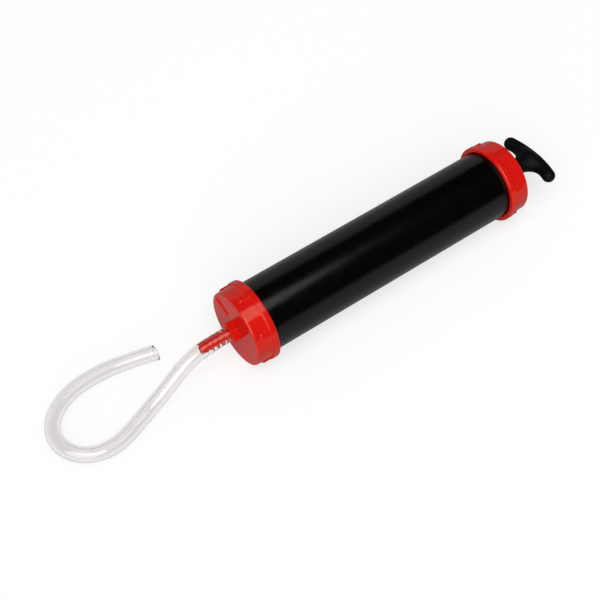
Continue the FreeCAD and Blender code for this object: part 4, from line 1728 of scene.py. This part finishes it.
# ---------------------------------------------------------------------------------------------
# Handle
# ---------------------------------------------------------------------------------------------
@dataclass
class Handle:
    """The T handle: a bowed round crossbar with ball ends that flows into a round hub.

    Its surface is where a blended distance is zero. The distance to the bar is the distance to the
    bar's bowed line less the bar's radius, the distance to the hub is the distance to its axis less the
    hub's radius, and the smaller of the two is taken, rounded off where they are nearly the same.
    """

    turn: float = -3.0
    bar: float = 0.0058
    half_span: float = 0.0243
    bow: float = 0.0033
    hub: float = 0.0069
    blend: float = 0.0135
    least_blend: float = 1e-6
    blend_ends: float = 0.004
    hub_stops: float = 0.0055
    foot_rounding: float = 0.0008
    ball: float = 0.9
    rough_rows: int = 41
    rough_columns: int = 32
    voxel: float = 0.00055
    rounds: int = 6
    moves_a_round: int = 3
    slope_step: float = 1e-5
    socket: float = 0.0053
    socket_depth: float = 0.012
    socket_cone: float = 0.001
    socket_below: float = 0.002
    socket_columns: int = 64
    insert_bore: float = 0.004
    insert_rounding: float = 0.0003

    def foot(self) -> float:
        """Where the hub's foot stands on the lock nut, along X."""
        return along("handle_lock_nut")[1]

    def bar_place(self) -> float:
        """Distance from the hub's foot to the bar's line, at the middle."""
        return along("t_handle")[1] - self.foot() - self.bar

    def bow_radius(self) -> float:
        """Radius of the bar's bow, from its half span and its height."""
        return (self.half_span ** 2 + self.bow ** 2) / (2 * self.bow)

    def distance(self, points: np.ndarray) -> np.ndarray:
        """The blended distance.

        Where the two distances differ by less than the blend, a quarter of the blend times the square of
        how close they are is taken off the smaller one. The foot is cut flat with a rounded edge.

        Args:
            points: places in the handle's own frame, with the hub's foot at the origin.

        Returns:
            The distance from each of them, less than nothing inside.
        """
        x, y, z = points.T
        bar_at = self.bar_place()
        bow_radius = self.bow_radius()
        centre = bar_at - bow_radius
        limit = math.asin(self.half_span / bow_radius)
        angle = np.clip(np.arctan2(y, x - centre), -limit, limit)
        near_x, near_y = centre + bow_radius * np.cos(angle), bow_radius * np.sin(angle)
        to_bar = np.sqrt((x - near_x) ** 2 + (y - near_y) ** 2 + z * z) - self.bar
        past = np.maximum(x - (bar_at - self.hub_stops), 0)
        to_hub = np.sqrt(y * y + z * z + past * past) - self.hub
        before_end = (bar_at + self.blend_ends - x) / (2 * self.blend_ends)
        blend = np.maximum(self.blend * smooth_step(before_end), self.least_blend)
        close = np.clip(blend - np.abs(to_bar - to_hub), 0, None) / blend
        body = np.minimum(to_bar, to_hub) - close ** 2 * blend / 4
        inward = np.stack([body + self.foot_rounding, self.foot_rounding - x], -1)
        outside = np.linalg.norm(np.clip(inward, 0, None), axis=-1)
        return np.minimum(inward.max(-1), 0) + outside - self.foot_rounding

    def gradient(self, points: np.ndarray) -> np.ndarray:
        """Direction in which the blended distance grows, from its differences over a small step.

        Args:
            points: places in the handle's own frame.

        Returns:
            A unit vector for each of them.
        """
        axes = np.eye(3) * self.slope_step
        slope = np.stack([self.distance(points + a) - self.distance(points - a) for a in axes], -1)
        return slope / np.maximum(np.linalg.norm(slope, axis=1), NEARLY_NOTHING)[:, None]

    def rough_bar(self) -> np.ndarray:
        """Circles along the bowed line that shrink to a pole at each ball end.

        Returns:
            The bar's grid, in the handle's own frame.
        """
        reach_out = self.half_span + self.ball * self.bar
        span = np.linspace(-reach_out, reach_out, self.rough_rows)[:, None]
        angle = circle_angles(self.rough_columns)
        past = np.clip(np.abs(span) - self.half_span, 0, None) / self.bar
        thick = self.bar * np.sqrt(1 - past ** 2)
        thick[[0, -1]] = 0.0
        bow_radius = self.bow_radius()
        line = self.bar_place() - (bow_radius - np.sqrt(bow_radius ** 2 - span ** 2))
        return np.stack(np.broadcast_arrays(line + thick * np.cos(angle), span, thick * np.sin(angle)), -1)

    def rough_hub(self) -> np.ndarray:
        """Circles from the hub's foot to the bar's line, with a pole at each end.

        Returns:
            The hub's grid, in the handle's own frame.
        """
        angle = circle_angles(self.rough_columns)
        x = self.bar_place() * np.array([0.0, 0.0, 0.5, 1.0, 1.0])[:, None]
        radius = self.hub * np.array([0.0, 1.0, 1.0, 1.0, 0.0])[:, None]
        return np.stack(np.broadcast_arrays(x, radius * np.cos(angle), radius * np.sin(angle)), -1)

    def rough(self) -> Piece:
        """A rough closed T to start from: a bar and a hub, remeshed into one even skin.

        Returns:
            The piece.
        """
        grids = []
        for grid in (self.rough_bar(), self.rough_hub()):
            points, quads = skin(grid, False, True)
            grids.append((points, quads if signed_volume(points, quads) > 0 else quads[:, ::-1]))
        piece = new_piece("handle", *together(grids))
        step = piece.modifiers.new("skin", "REMESH")
        step.mode = "VOXEL"
        step.voxel_size = self.voxel
        apply_modifiers(piece)
        return piece

    def settled(self, points: np.ndarray, edges: np.ndarray) -> np.ndarray:
        """Draw points onto the blended surface.

        Each round first moves every point halfway to the mean of its neighbours, which evens the skin
        out, and then moves it along the gradient by its distance, which puts it back on the surface.

        Args:
            points: the rough skin's points.
            edges: pairs of neighbours.

        Returns:
            The points on the surface.
        """
        count = len(points)
        one, other = np.concatenate([edges, edges[:, ::-1]]).T
        neighbours = np.maximum(np.bincount(one, minlength=count), 1)[:, None]
        for _ in range(self.rounds):
            total = np.stack([np.bincount(one, points[other, k], count) for k in range(3)], -1)
            points = 0.5 * points + 0.5 * total / neighbours
            for _ in range(self.moves_a_round):
                points = points - self.gradient(points) * self.distance(points)[:, None]
        return points

    def build(self) -> Piece:
        """Draw the rough skin onto the blended surface, turn it and put it on the lock nut.

        Returns:
            The piece.
        """
        piece = self.rough()
        mesh = piece.data
        edges = np.zeros(len(mesh.edges) * 2, np.int32)
        mesh.edges.foreach_get("vertices", edges)
        x, y, z = self.settled(mesh_points(mesh), edges.reshape(-1, 2)).T
        turn = math.radians(self.turn)
        across = y * math.cos(turn) - z * math.sin(turn)
        up = y * math.sin(turn) + z * math.cos(turn)
        placed = np.stack([x + self.foot(), across, up + AXIS_Z], -1)
        mesh.vertices.foreach_set("co", placed.astype(np.float32).ravel())
        mesh.update()
        return piece

    def socket_tool(self) -> Piece:
        """The insert's socket, a plain plug with a cone at its inner end, to be cut out of the hub.

        Returns:
            The plug.
        """
        below, depth = -self.socket_below, self.socket_depth
        x = self.foot() + np.array([below, below, depth, depth + self.socket_cone])[:, None]
        radius = self.socket * np.array([0, 1, 1, 0])[:, None]
        return revolved("socket", x, radius, circle_angles(self.socket_columns), is_loop=False)

    def dress(self) -> None:
        """Build the handle and its insert and give them their finishes."""
        piece = self.build()
        combine(piece, self.socket_tool(), Joining.CUT_OUT)
        shade(piece.data, SHARP_EDGE)
        dress(piece, Body.PLUNGER, HANDLE_PLASTIC, "t_handle")
        insert = ring("threaded_insert", "handle_insert", self.insert_bore, self.insert_rounding)
        dress(insert, Body.PLUNGER, INSERT_BRASS, "handle_insert")


def main() -> None:
    """Build the studio, the hose and then the rest of the pump."""
    logging.basicConfig(level=logging.INFO, format="%(name)s %(message)s")
    front_cap = FrontCap(
        "front_cap", faces_back=False, lug_phase=27.5, hole=0.006, seat=0.0075, boss_length=0.0055,
    )
    rear_cap = RearCap(
        "rear_cap", faces_back=True, lug_phase=155.0, hole=0.007, seat=0.007, boss_length=0.014,
    )
    Studio().build()
    for part in (
        Hose(), Barrel(), front_cap, rear_cap, Nozzle(), StaticSeals(), RodGuide(), Plunger(), Handle(),
    ):
        part.dress()


if __name__ == "__main__":
    main()
